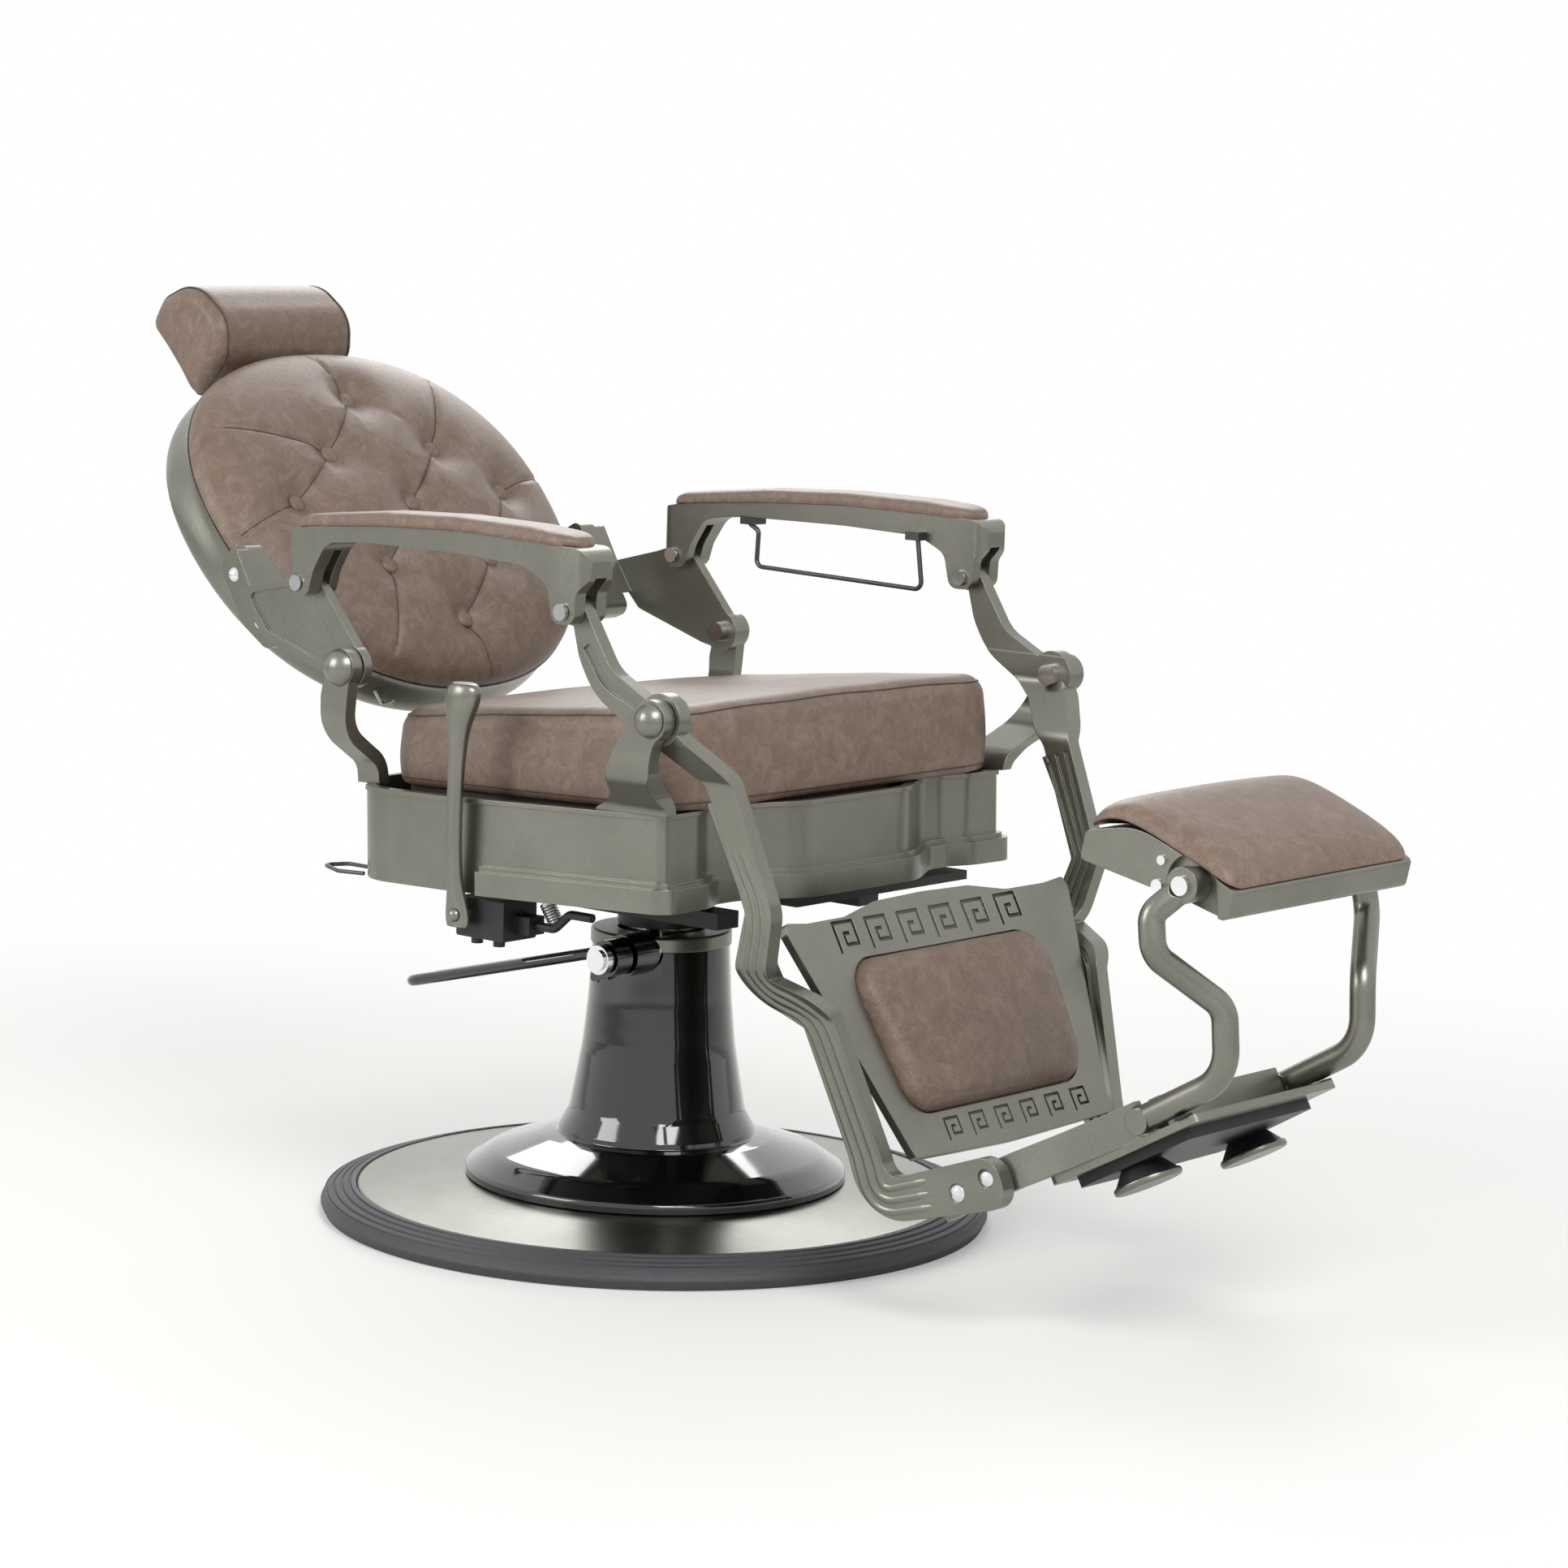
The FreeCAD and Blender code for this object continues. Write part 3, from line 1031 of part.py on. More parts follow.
def make_foot_pad():
    half = V["foot_half"]
    ty, tz = V["foot_pivot_y"], V["foot_pivot_z"]
    profile = [
        (-646, 494, 8), (-703, 503, 90), (-740, 489, 90), (-778, 473, 60), (-812, 456, 6),
        (-806, 428, 6), (-790, 431, 20), (-732, 447, 20), (-640, 466, 6),
    ]
    slab = extrude("tray_solid", sketch("tray_outline", profile, SIDE_VIEW, Vector(-half, 0, 0)),
                   2 * half, LengthFwd="2 * sizes.foot_half")
    pockets = []
    for i, x in enumerate((-half - 1, 142.2)):
        pockets.append(rod_x("tray_pocket_%d" % i, 27, x, x + 8.8, ty, tz))
        pockets.append(extrude("tray_skirt_%d" % i, sketch("tray_skirt_outline_%d" % i, [
            (ty - 27, tz, 0), (ty + 27, tz, 0), (ty + 34, tz - 60, 0), (ty - 34, tz - 60, 0)],
            SIDE_VIEW, Vector(x, 0, 0)), 8.8))
    hole = rod_x("tray_hole", 6 + FIT, -half - 1, half + 1, ty, tz)
    tray = cut("tray_cut", slab, hole, *pockets)
    node("foot_tray", tray)
    pins = []
    for i, (x0, x1, h0, h1) in enumerate(((-170, -100, -170, -166.1), (100, 170, 166.1, 170))):
        pins.append(fuse("tray_pin_%d" % i, rod_x("tray_stem_%d" % i, 6, x0, x1, ty, tz),
                         rod_x("tray_head_%d" % i, 9, h0, h1, ty, tz)))
    node("foot_pins", compound("foot_pins_raw", *pins))
    rivets = []
    for i, x0 in enumerate((-half - 3, half)):
        rivets.append(rod_x("rivet_%d" % i, 4.5, x0, x0 + 3, -733, 476))
        rivets.append(rod_x("stop_%d" % i, 6, x0, x0 + 3, -729, 452))
    node("foot_rivets", compound("rivets_raw", *rivets))

    leather = extrude("foot_leather", sketch("foot_leather_outline", [
        (-646, 495, 6), (-703, 503.5, 90), (-740, 489.5, 90), (-778, 473.5, 60), (-811, 457, 5),
        (-812, 468, 6), (-780, 491, 60), (-742, 509, 90), (-700, 522, 80), (-655, 508, 20)],
        SIDE_VIEW, Vector(-half + 0.5, 0, 0)), 2 * half - 1)
    roof = doc.addObject("Part::Ellipsoid", "foot_roof")
    roof.Radius1, roof.Radius2, roof.Radius3 = 52, 330, 130
    roof.Angle1, roof.Angle2, roof.Angle3 = -90, 90, 360
    roof.Placement.Base = Vector(0, -722, 470)
    node("foot_cushion", common("foot_soft", leather, roof))


make_base()
make_pump_lever()
make_seat()
make_uprights()
make_recline_lever()
make_back()
make_armrests()
make_link()
make_calf_panel()
make_deck()
make_s_arms()
make_foot_pad()
doc.recompute()

broken = [thing.Name for thing in doc.Objects if "Invalid" in thing.State or "Error" in thing.State]
if broken:
    raise RuntimeError("did not build: %s" % ", ".join(broken))
for name, thing in NODES.items():
    shape = thing.Shape
    if shape.isNull() or not shape.isValid():
        raise RuntimeError("%s has no valid shape" % name)
    shape.exportStep("parts/%s.step" % name)
print("%d sub-parts exported" % len(NODES))
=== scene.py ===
# %% [markdown]
# A reclining barber chair, dressed around its engineering model. The castings, tubes and turned
# parts arrive as exact solids, so this lesson gives them their paint and polish. The leather is
# made here, because upholstery is crowned, pulled in at its buttons and piped at its edges, which
# is easier to write as a surface than to draw as a solid.

# %% Load the chair's frame
import math

import bpy
import numpy as np
from mathutils import Matrix, Vector


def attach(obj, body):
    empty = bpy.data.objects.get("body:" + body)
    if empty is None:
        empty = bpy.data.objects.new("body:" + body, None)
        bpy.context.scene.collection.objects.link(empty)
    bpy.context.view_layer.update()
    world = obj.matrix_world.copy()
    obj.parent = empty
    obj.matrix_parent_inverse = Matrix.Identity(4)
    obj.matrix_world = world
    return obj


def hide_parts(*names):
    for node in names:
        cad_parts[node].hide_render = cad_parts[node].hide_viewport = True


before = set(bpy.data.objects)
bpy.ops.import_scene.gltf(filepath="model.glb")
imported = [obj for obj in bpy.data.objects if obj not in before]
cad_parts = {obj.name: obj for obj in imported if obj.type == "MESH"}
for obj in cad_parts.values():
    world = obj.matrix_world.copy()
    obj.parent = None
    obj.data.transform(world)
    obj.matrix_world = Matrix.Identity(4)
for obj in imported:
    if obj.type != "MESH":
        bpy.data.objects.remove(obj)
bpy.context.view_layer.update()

# %% [markdown]
# A long lens from far away keeps a large piece of furniture from looking bent. This camera stands
# to the right of the chair, a little above seat height, at the angle that the photograph was
# taken from. Its three axes are worked out from a heading, a pitch and a small roll.

# %% Camera
HEADING, PITCH, ROLL = (math.radians(a) for a in (-50.4442, 7.8613, 1.6556))
LENS = 105.42
EYE = Vector((-3.558628, -3.098960, 1.106640))


def camera_axes(heading, pitch, roll):
    """Forward from heading and pitch; right is level, up square to both, then both roll."""
    forward = Vector((-math.sin(heading) * math.cos(pitch), math.cos(heading) * math.cos(pitch),
                      -math.sin(pitch)))
    right = Vector((math.cos(heading), math.sin(heading), 0))
    up = right.cross(forward)
    turned = math.cos(roll) * right + math.sin(roll) * up
    raised = -math.sin(roll) * right + math.cos(roll) * up
    return turned, raised, -forward


camera_data = bpy.data.cameras.new("camera")
camera_data.lens = LENS
camera_data.sensor_width = 36
camera_data.clip_end = 60
camera = bpy.data.objects.new("camera", camera_data)
bpy.context.scene.collection.objects.link(camera)
turn = Matrix(camera_axes(HEADING, PITCH, ROLL)).transposed().to_4x4()
camera.matrix_world = Matrix.Translation(EYE) @ turn
bpy.context.scene.camera = camera
print("camera %.2f m from the column" % EYE.length)

# %% [markdown]
# Colours are written as the sRGB hex values that one would pick by eye, and Blender's shaders
# work in linear light, so one function turns the one into the other. A second small function adds
# any node: plain values set its sockets, and sockets are linked to them.

# %% Colour and node helpers
def linear(code, alpha=1.0):
    """sRGB hex to linear: c/12.92 below 0.04045, else ((c+0.055)/1.055)^2.4."""
    c = np.array([int(code[i:i + 2], 16) for i in (1, 3, 5)]) / 255
    c = np.where(c <= 0.04045, c / 12.92, ((c + 0.055) / 1.055) ** 2.4)
    return (*c.tolist(), alpha)


def add(tree, kind, values=None, **settings):
    """Add a node, apply its settings, then set or link its inputs by name or number."""
    made = tree.nodes.new(kind)
    for key, value in settings.items():
        setattr(made, key, value)
    for key, value in (values or {}).items():
        if isinstance(value, bpy.types.NodeSocket):
            tree.links.new(value, made.inputs[key])
        else:
            made.inputs[key].default_value = value
    return made


def start_material(name):
    """An empty node tree with an output, and Object coordinates to read patterns from."""
    material = bpy.data.materials.new(name)
    material.use_nodes = True
    tree = material.node_tree
    tree.nodes.clear()
    where = add(tree, "ShaderNodeTexCoord").outputs["Object"]
    return material, tree, where


def end_material(tree, shader):
    add(tree, "ShaderNodeOutputMaterial", {"Surface": shader.outputs[0]})


MM = 0.001


def per(size_mm):
    """Texture scale at which one feature of a noise is about size_mm across."""
    return 1 / (size_mm * MM)


print("helpers ready, pewter mid tone is", [round(c, 3) for c in linear("#85867b")[:3]])

# %% [markdown]
# Pewter-toned casting. The frame of the chair is cast aluminium, sprayed with a metallic enamel
# and rubbed back, so it is neither chrome nor grey plastic: nearly all metal, satin, a warm grey
# with slightly darker clouds where the pigment settled. A small rounding of the shading normal
# stands for the soft edge that sand casting and spraying leave, because a perfectly sharp edge is
# what makes a casting look drawn.

# %% Cast metal finishes
def cast_enamel(name, light, dark, metal, roughness, edge_mm=1.2):
    """Sprayed metallic enamel on a casting: clouded colour, fine sparkle, orange-peel bump."""
    material, tree, where = start_material(name)
    cloud = add(tree, "ShaderNodeTexNoise", {"Vector": where, "Scale": per(70), "Detail": 3.0})
    grit = add(tree, "ShaderNodeTexNoise", {"Vector": where, "Scale": per(1.6), "Detail": 2.0})
    share = add(tree, "ShaderNodeMath", {0: cloud.outputs["Fac"], 1: grit.outputs["Fac"]},
                operation="ADD")
    spread = add(tree, "ShaderNodeMapRange", {"Value": share.outputs[0], "From Min": 0.6,
                                              "From Max": 1.45})
    colour = add(tree, "ShaderNodeMix", {0: spread.outputs[0], 6: linear(dark), 7: linear(light)},
                 data_type="RGBA")
    sheen = add(tree, "ShaderNodeMapRange", {
        "Value": grit.outputs["Fac"], "To Min": roughness - 0.05, "To Max": roughness + 0.09})
    peel = add(tree, "ShaderNodeTexNoise", {"Vector": where, "Scale": per(3.5), "Detail": 2.0})
    soft = add(tree, "ShaderNodeBevel", {"Radius": edge_mm * MM}, samples=6)
    bump = add(tree, "ShaderNodeBump", {"Height": peel.outputs["Fac"], "Strength": 0.08,
                                        "Distance": 0.3 * MM, "Normal": soft.outputs[0]})
    end_material(tree, add(tree, "ShaderNodeBsdfPrincipled", {
        "Base Color": colour.outputs[2], "Metallic": metal, "Roughness": sheen.outputs[0],
        "Normal": bump.outputs[0]}))
    return material


pewter = cast_enamel("pewter_enamel", "#8b8b82", "#77776e", 0.9, 0.3)
charcoal = cast_enamel("charcoal_enamel", "#5b5c59", "#484947", 0.8, 0.34, 0.4)
black_satin = cast_enamel("black_satin_enamel", "#232425", "#141516", 0.1, 0.42, 0.6)
# painted shade: a dark grey that stands for the shadow in the key border's grooves
painted_groove_shade = cast_enamel("painted_groove_shade", "#5b5c54", "#4a4b44", 0.4, 0.5, 0.2)
print("cast finishes:", pewter.name, charcoal.name, black_satin.name, painted_groove_shade.name)

# %% [markdown]
# Turned aluminium, chrome and gloss black. The round base is spun on a lathe and left satin, so
# its marks are rings about the column: a noise read along the distance from the axis gives
# exactly that. Chrome is nearly a mirror, and only finger smudges vary its roughness. The column
# is gloss black enamel under a clear coat, whose long reflections are most of what one sees of
# it.

# %% Turned and polished finishes
def spun_aluminium(name):
    """Satin metal with circular tool marks: noise of the distance from the Z axis."""
    material, tree, where = start_material(name)
    split = add(tree, "ShaderNodeSeparateXYZ", {0: where})
    flat = add(tree, "ShaderNodeCombineXYZ", {0: split.outputs[0], 1: split.outputs[1]})
    radius = add(tree, "ShaderNodeVectorMath", {0: flat.outputs[0]}, operation="LENGTH")
    rings = add(tree, "ShaderNodeTexNoise", {"W": radius.outputs["Value"], "Scale": per(0.9),
                                             "Detail": 4.0}, noise_dimensions="1D")
    stain = add(tree, "ShaderNodeTexNoise", {"Vector": where, "Scale": per(45), "Detail": 4.0})
    rough = add(tree, "ShaderNodeMapRange", {"Value": rings.outputs["Fac"], "To Min": 0.22,
                                             "To Max": 0.38})
    colour = add(tree, "ShaderNodeMix", {0: stain.outputs["Fac"], 6: linear("#6c6c65"),
                                         7: linear("#83837b")}, data_type="RGBA")
    bump = add(tree, "ShaderNodeBump", {"Height": rings.outputs["Fac"], "Strength": 0.08,
                                        "Distance": 0.1 * MM})
    end_material(tree, add(tree, "ShaderNodeBsdfPrincipled", {
        "Base Color": colour.outputs[2], "Metallic": 1.0, "Roughness": rough.outputs[0],
        "Normal": bump.outputs[0]}))
    return material


def polished(name, tint, metal, low, high, coat):
    """A bright finish whose roughness drifts between low and high in 30 mm smudges."""
    material, tree, where = start_material(name)
    smudge = add(tree, "ShaderNodeTexNoise", {"Vector": where, "Scale": per(30), "Detail": 5.0})
    rough = add(tree, "ShaderNodeMapRange", {"Value": smudge.outputs["Fac"], "To Min": low,
                                             "To Max": high})
    shade = add(tree, "ShaderNodeMix", {0: smudge.outputs["Fac"], 6: linear(tint[0]),
                                        7: linear(tint[1])}, data_type="RGBA")
    end_material(tree, add(tree, "ShaderNodeBsdfPrincipled", {
        "Base Color": shade.outputs[2], "Metallic": metal, "Roughness": rough.outputs[0],
        "Coat Weight": coat, "Coat Roughness": 0.06}))
    return material


aluminium = spun_aluminium("spun_aluminium")
chrome = polished("polished_chrome", ("#d6d6d8", "#ececee"), 1.0, 0.08, 0.2, 0.0)
gloss_black = polished("gloss_black_enamel", ("#070708", "#0c0c0e"), 0.0, 0.05, 0.12, 0.9)
print("bright finishes:", aluminium.name, chrome.name, gloss_black.name)

# %% [markdown]
# Distressed brown leather. It is hide, embossed with a pebble grain of about two millimetres,
# stained brown and wiped, so the grain's floor keeps more stain and broad patches are worn paler.
# The pebble is drawn here at three millimetres, because the real size would vanish at this
# distance. Rubber and dark stained plywood are made the same way, from what one sees of them
# close by.

# %% Leather, rubber and plywood
def hide(name, dark, mid, worn, roughness=0.42):
    """Voronoi pebbles for the grain, and two twisted noises for stain, wear and creases."""
    material, tree, where = start_material(name)
    warp = add(tree, "ShaderNodeTexNoise", {"Vector": where, "Scale": per(9), "Detail": 2.0})
    moved = add(tree, "ShaderNodeVectorMath", {0: warp.outputs["Color"], 1: (0.004, 0.004, 0.004)},
                operation="MULTIPLY")
    bent = add(tree, "ShaderNodeVectorMath", {0: where, 1: moved.outputs[0]}, operation="ADD")
    pebble = add(tree, "ShaderNodeTexVoronoi", {"Vector": bent.outputs[0], "Scale": per(3.0)},
                 feature="DISTANCE_TO_EDGE")
    groove = add(tree, "ShaderNodeMapRange", {"Value": pebble.outputs[0], "From Max": 0.14})
    stain = add(tree, "ShaderNodeTexNoise", {"Vector": where, "Scale": per(26), "Detail": 8.0,
                                             "Roughness": 0.72, "Distortion": 0.8})
    streak = add(tree, "ShaderNodeTexNoise", {"Vector": where, "Scale": per(22), "Detail": 7.0,
                                              "Roughness": 0.7, "Distortion": 1.4})
    wear = add(tree, "ShaderNodeMapRange", {"Value": streak.outputs["Fac"], "From Min": 0.46,
                                            "From Max": 0.72})
    base = add(tree, "ShaderNodeMix", {0: stain.outputs["Fac"], 6: linear(dark), 7: linear(mid)},
               data_type="RGBA")
    aged = add(tree, "ShaderNodeMath", {0: wear.outputs[0], 1: 0.5}, operation="MULTIPLY")
    rubbed = add(tree, "ShaderNodeMix", {0: aged.outputs[0], 6: base.outputs[2], 7: linear(worn)},
                 data_type="RGBA")
    ink = add(tree, "ShaderNodeMapRange", {"Value": groove.outputs[0], "To Min": 0.78,
                                           "To Max": 1.0})
    final = add(tree, "ShaderNodeMix", {0: 1.0, 6: rubbed.outputs[2], 7: ink.outputs[0]},
                data_type="RGBA", blend_type="MULTIPLY")
    rough = add(tree, "ShaderNodeMapRange", {
        "Value": streak.outputs["Fac"], "To Min": roughness - 0.08, "To Max": roughness + 0.14})
    grain = add(tree, "ShaderNodeBump", {"Height": groove.outputs[0], "Strength": 0.28,
                                         "Distance": 0.5 * MM})
    crease = add(tree, "ShaderNodeBump", {"Height": streak.outputs["Fac"], "Strength": 0.35,
                                          "Distance": 1.6 * MM, "Normal": grain.outputs[0]})
    end_material(tree, add(tree, "ShaderNodeBsdfPrincipled", {
        "Base Color": final.outputs[2], "Roughness": rough.outputs[0], "Normal": crease.outputs[0],
        "Coat Weight": 0.12, "Coat Roughness": 0.32}))
    return material


def dull(name, low, high, size_mm, roughness, stretch=(1, 1, 1)):
    """A dull material with one noise of size_mm in colour and bump; stretch draws it out."""
    material, tree, where = start_material(name)
    drawn = add(tree, "ShaderNodeMapping", {"Vector": where, "Scale": stretch})
    grain = add(tree, "ShaderNodeTexNoise", {"Vector": drawn.outputs[0], "Scale": per(size_mm),
                                             "Detail": 5.0})
    colour = add(tree, "ShaderNodeMix", {0: grain.outputs["Fac"], 6: linear(low), 7: linear(high)},
                 data_type="RGBA")
    bump = add(tree, "ShaderNodeBump", {"Height": grain.outputs["Fac"], "Strength": 0.2,
                                        "Distance": 0.3 * MM})
    end_material(tree, add(tree, "ShaderNodeBsdfPrincipled", {
        "Base Color": colour.outputs[2], "Roughness": roughness, "Normal": bump.outputs[0]}))
    return material


leather = hide("distressed_leather", "#574437", "#877161", "#9d8a7b")
# dark leather for the welts and seams, also used for the painted crease and fold shade cords
welt_and_crease_shade = hide("leather_welt_and_crease_shade", "#2e231f", "#4a3a33", "#5d4c44", 0.5)
rubber = dull("moulded_rubber", "#303234", "#45474a", 4, 0.58)
plywood = dull("stained_plywood", "#2c2621", "#3c342d", 6, 0.72, (0.15, 1, 1))
print("soft finishes:", leather.name, welt_and_crease_shade.name, rubber.name, plywood.name)

# %% [markdown]
# The solids keep their shape and only change their finish. One table says which part has which,
# the way a paint shop's card does, and a loop hands them out.

# %% Paint the solids
FINISHES = {
    pewter: ["seat_apron", "front_upright_left", "front_upright_right", "rear_upright_left",
             "rear_upright_right", "side_plate_left", "side_plate_right", "back_shell",
             "armrest_left", "armrest_right", "front_link_left", "front_link_right", "calf_panel",
             "footrest_deck", "foot_tray", "recline_lever", "s_arm_left", "s_arm_right",
             "pivot_caps", "lever_bolt", "back_hook"],
    charcoal: ["towel_bar", "strap_loop"],
    black_satin: ["seat_underframe", "front_bracket", "foot_bracket", "arm_clips",
                  "headrest_socket", "headrest_stem", "recline_housing", "recline_rod"],
    gloss_black: ["column_cover", "pump_cylinder", "pump_handle", "pump_hub"],
    rubber: ["base_trim"],
    aluminium: ["base_plate", "column_collar", "foot_glides"],
    chrome: ["lift_piston", "pump_shaft", "shaft_ring", "pivot_pins", "shell_bolts",
             "arm_bolts_left", "arm_bolts_right", "link_bolts", "foot_pins", "foot_rivets",
             "recline_spring"],
    plywood: ["seat_board"],
    leather: ["back_buttons"],
}
SHARP_ANGLE = math.radians(32)
for finish, names in FINISHES.items():
    for name in names:
        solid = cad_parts[name]
        solid.data.materials.clear()
        solid.data.materials.append(finish)
        solid.data.shade_smooth()
        solid.data.set_sharp_from_angle(angle=SHARP_ANGLE)
print("painted", sum(len(names) for names in FINISHES.values()), "solids")

# %% [markdown]
# Every soft piece is a sheet of points on a grid. Neighbouring points make the faces, a row that
# shrinks to one point becomes a pole, and the sign of the enclosed volume says whether the faces
# look outward. The places are worked out in millimetres, in the frame of the seat, back or panel
# that carries the piece, and turned into the chair's frame at the end.

# %% Surface helpers
# y and z of each carrier's origin in mm, and its angle about X in degrees
SEAT = (0.0, 462.0, -1.9)
BACK = (411.1, 694.2, -40.0)
PANEL = (-470.0, 157.0, -29.0)


def placed(at, points):
    """Turn (x, y, z) about X by the frame's angle and shift it by the frame's y and z."""
    y0, z0, degrees = at
    c, s = math.cos(math.radians(degrees)), math.sin(math.radians(degrees))
    x, y, z = np.moveaxis(np.asarray(points, float), -1, 0)
    return np.stack([x, y0 + c * y - s * z, z0 + s * y + c * z], -1)


def surface(name, points, finish, around=True, poles=(True, True), along=False):
    """Quads between neighbours of an (n, m, 3) grid in mm; around and along close it."""
    n, m = points.shape[:2]
    index = np.arange(n * m).reshape(n, m)
    if poles[0]:
        index[0] = index[0, 0]
    if poles[1]:
        index[-1] = index[-1, 0]
    rows = np.vstack([index, index[:1]]) if along else index
    cells = np.hstack([rows, rows[:, :1]]) if around else rows
    corners = np.stack([cells[:-1, :-1], cells[:-1, 1:], cells[1:, 1:], cells[1:, :-1]], -1)
    corners = corners.reshape(-1, 4)
    flat = points.reshape(-1, 3) * MM
    a, b, c, d = (flat[corners[:, i]] for i in range(4))
    volume = np.sum(np.cross(b, c) * a) + np.sum(np.cross(c, d) * a)
    if volume < 0:
        corners = corners[:, ::-1]
    used, renumbered = np.unique(corners, return_inverse=True)
    corners = renumbered.reshape(-1, 4)
    double = [corners[:, i] == corners[:, (i + 1) % 4] for i in range(4)]
    faces = corners[~np.any(double, axis=0)].tolist()
    for i in range(4):
        keep = [j for j in range(4) if j != i]
        faces += corners[double[i]][:, keep].tolist()
    mesh = bpy.data.meshes.new(name)
    mesh.from_pydata(flat[used].tolist(), [], faces)
    mesh.materials.append(finish)
    mesh.shade_smooth()
    made = bpy.data.objects.new(name, mesh)
    bpy.context.scene.collection.objects.link(made)
    print("%s: %d faces" % (name, len(faces)))
    return made


def rim_line(corners, count):
    """A closed line through (a, b, radius) corners with circular arcs, as count even points."""
    corners = np.array(corners, float)
    found = []
    for i in range(len(corners)):
        p, r = corners[i, :2], corners[i, 2]
        before = corners[i - 1, :2] - p
        after = corners[(i + 1) % len(corners), :2] - p
        before, after = before / np.linalg.norm(before), after / np.linalg.norm(after)
        half = math.acos(float(np.clip(before @ after, -1, 1))) / 2
        if r < 0.01 or half > 1.55:
            found.append(p[None])
            continue
        middle = (before + after) / np.linalg.norm(before + after)
        centre = p + middle * r / math.sin(half)
        start, end = p + before * r / math.tan(half), p + after * r / math.tan(half)
        share = np.linspace(0, 1, 17)[:, None]
        chord = start * (1 - share) + end * share - centre
        found.append(centre + r * chord / np.linalg.norm(chord, axis=1)[:, None])
    line = np.vstack(found + [found[0][:1]])
    length = np.concatenate([[0], np.cumsum(np.linalg.norm(np.diff(line, axis=0), axis=1))])
    even = np.linspace(0, length[-1], count, endpoint=False)
    return np.stack([np.interp(even, length, line[:, k]) for k in (0, 1)], -1)


def inward(line):
    """Unit normals of a closed line of points, pointing to its inside."""
    tangent = np.roll(line, -1, axis=0) - np.roll(line, 1, axis=0)
    normal = np.stack([-tangent[:, 1], tangent[:, 0]], -1)
    normal /= np.linalg.norm(normal, axis=1)[:, None]
    middle = line.mean(0)
    return normal if np.sum(normal * (middle - line)) > 0 else -normal


def cord_on(name, path, radius, finish, closed=True, sides=10):
    """A round cord along a path of points: centre + radius (cos v N + sin v B)."""
    if closed:
        tangent = np.roll(path, -1, axis=0) - np.roll(path, 1, axis=0)
    else:
        tangent = np.gradient(path, axis=0)
    tangent /= np.linalg.norm(tangent, axis=1)[:, None]
    reference = np.eye(3)[np.argmin(np.abs(tangent).max(0))]
    first = np.cross(tangent, reference)
    first /= np.linalg.norm(first, axis=1)[:, None]
    second = np.cross(tangent, first)
    turn = np.linspace(0, 2 * math.pi, sides, endpoint=False)[None, :, None]
    ring = path[:, None] + radius * (np.cos(turn) * first[:, None] + np.sin(turn) * second[:, None])
    if not closed:
        ends = [path[k][None, None].repeat(sides, 1) for k in (0, -1)]
        ring = np.concatenate([ends[0], ring, ends[1]])
    return surface(name, ring, finish, poles=(not closed, not closed), along=closed)


def upholstery(piece, body, *nodes, fill=0.7):
    """Attach a padded piece to the body that carries it and hide the solids it stands for; fill is
    not used.
    """
    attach(piece, body)
    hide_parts(*nodes)


def trimming(piece, body):
    """Attach a small hard piece to the body that it rides on."""
    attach(piece, body)


print("surface helpers ready")

# %% [markdown]
# The seat cushion is a boxed cushion: a top panel and a side band sewn together with a seam just
# below the top edge, pulled over a foam block that falls towards the back. Its outline is carried
# up the side, over a rounded edge and in to the middle, and a shallow crown and two sitting
# hollows shape the top.

# %% Seat cushion
SEAT_PLAN = [(-216, -238, 100), (216, -238, 100), (256, -224, 26), (257, -30, 900), (250, 168, 60),
             (-250, 168, 60), (-257, -30, 900), (-256, -224, 26)]
SEAT_THICK, SEAT_RAKE, EDGE_ROUND = 92.0, math.radians(3.9), 24.0
SIT_SPOTS, SIT_Y, SIT_DEPTH = (-85, 85), 20, 4.0
SEAM_TURN, FOLD_SHADE_LEVEL = 0.75, 9.0


def seat_top(x, y):
    """Raked plane with a crown, less two soft hollows where one sits."""
    crown = (x ** 2 + (y + 34) ** 2) / 15000
    hollows = sum(SIT_DEPTH * np.exp(-((x - spot) / 95) ** 2 - ((y - SIT_Y) / 110) ** 2)
                  for spot in SIT_SPOTS)
    ripple = 0.5 * np.sin(x / 23 + 1.3 * np.sin(y / 31)) * np.sin(y / 27 + 0.8)
    return SEAT_THICK + 1 - y * math.tan(SEAT_RAKE) - crown - hollows + ripple


def boxed_cushion(rim, top, bottom, edge, bulge, rings):
    """Carry a rim up a bulged wall, round an edge of radius edge, and shrink it to the middle."""
    normal = inward(rim)
    height = top(rim[:, 0], rim[:, 1]) - edge
    rows = [(rim.mean(0)[None].repeat(len(rim), 0), np.full(len(rim), bottom))]
    rows.append((rim + normal * 8, np.full(len(rim), bottom)))
    for share in np.linspace(0.03, 1, 12):
        out = bulge * math.sin(math.pi * share) - 3 * (1 - min(1, share / 0.08)) ** 2
        rows.append((rim - normal * out, bottom + (height - bottom) * share))
    for turn in np.linspace(0.12, math.pi / 2, 10):
        inset = edge * (1 - math.cos(turn))
        spot = rim + normal * inset
        rows.append((spot, top(spot[:, 0], spot[:, 1]) - edge * (1 - math.sin(turn))))
    last, middle = rows[-1][0], rim.mean(0)
    for share in np.linspace(0, 1, rings)[1:]:
        spot = last * (1 - share) + middle * share
        rows.append((spot, top(spot[:, 0], spot[:, 1])))
    return np.stack([np.column_stack([spot, level]) for spot, level in rows])


seat_rim = rim_line(SEAT_PLAN, 360)
seat_points = boxed_cushion(seat_rim, seat_top, 0.5, EDGE_ROUND, 2.5, 60)
seat_cushion = surface("seat_cushion_leather", placed(SEAT, seat_points), leather)
upholstery(seat_cushion, "seat", "seat_cushion", fill=0.8)

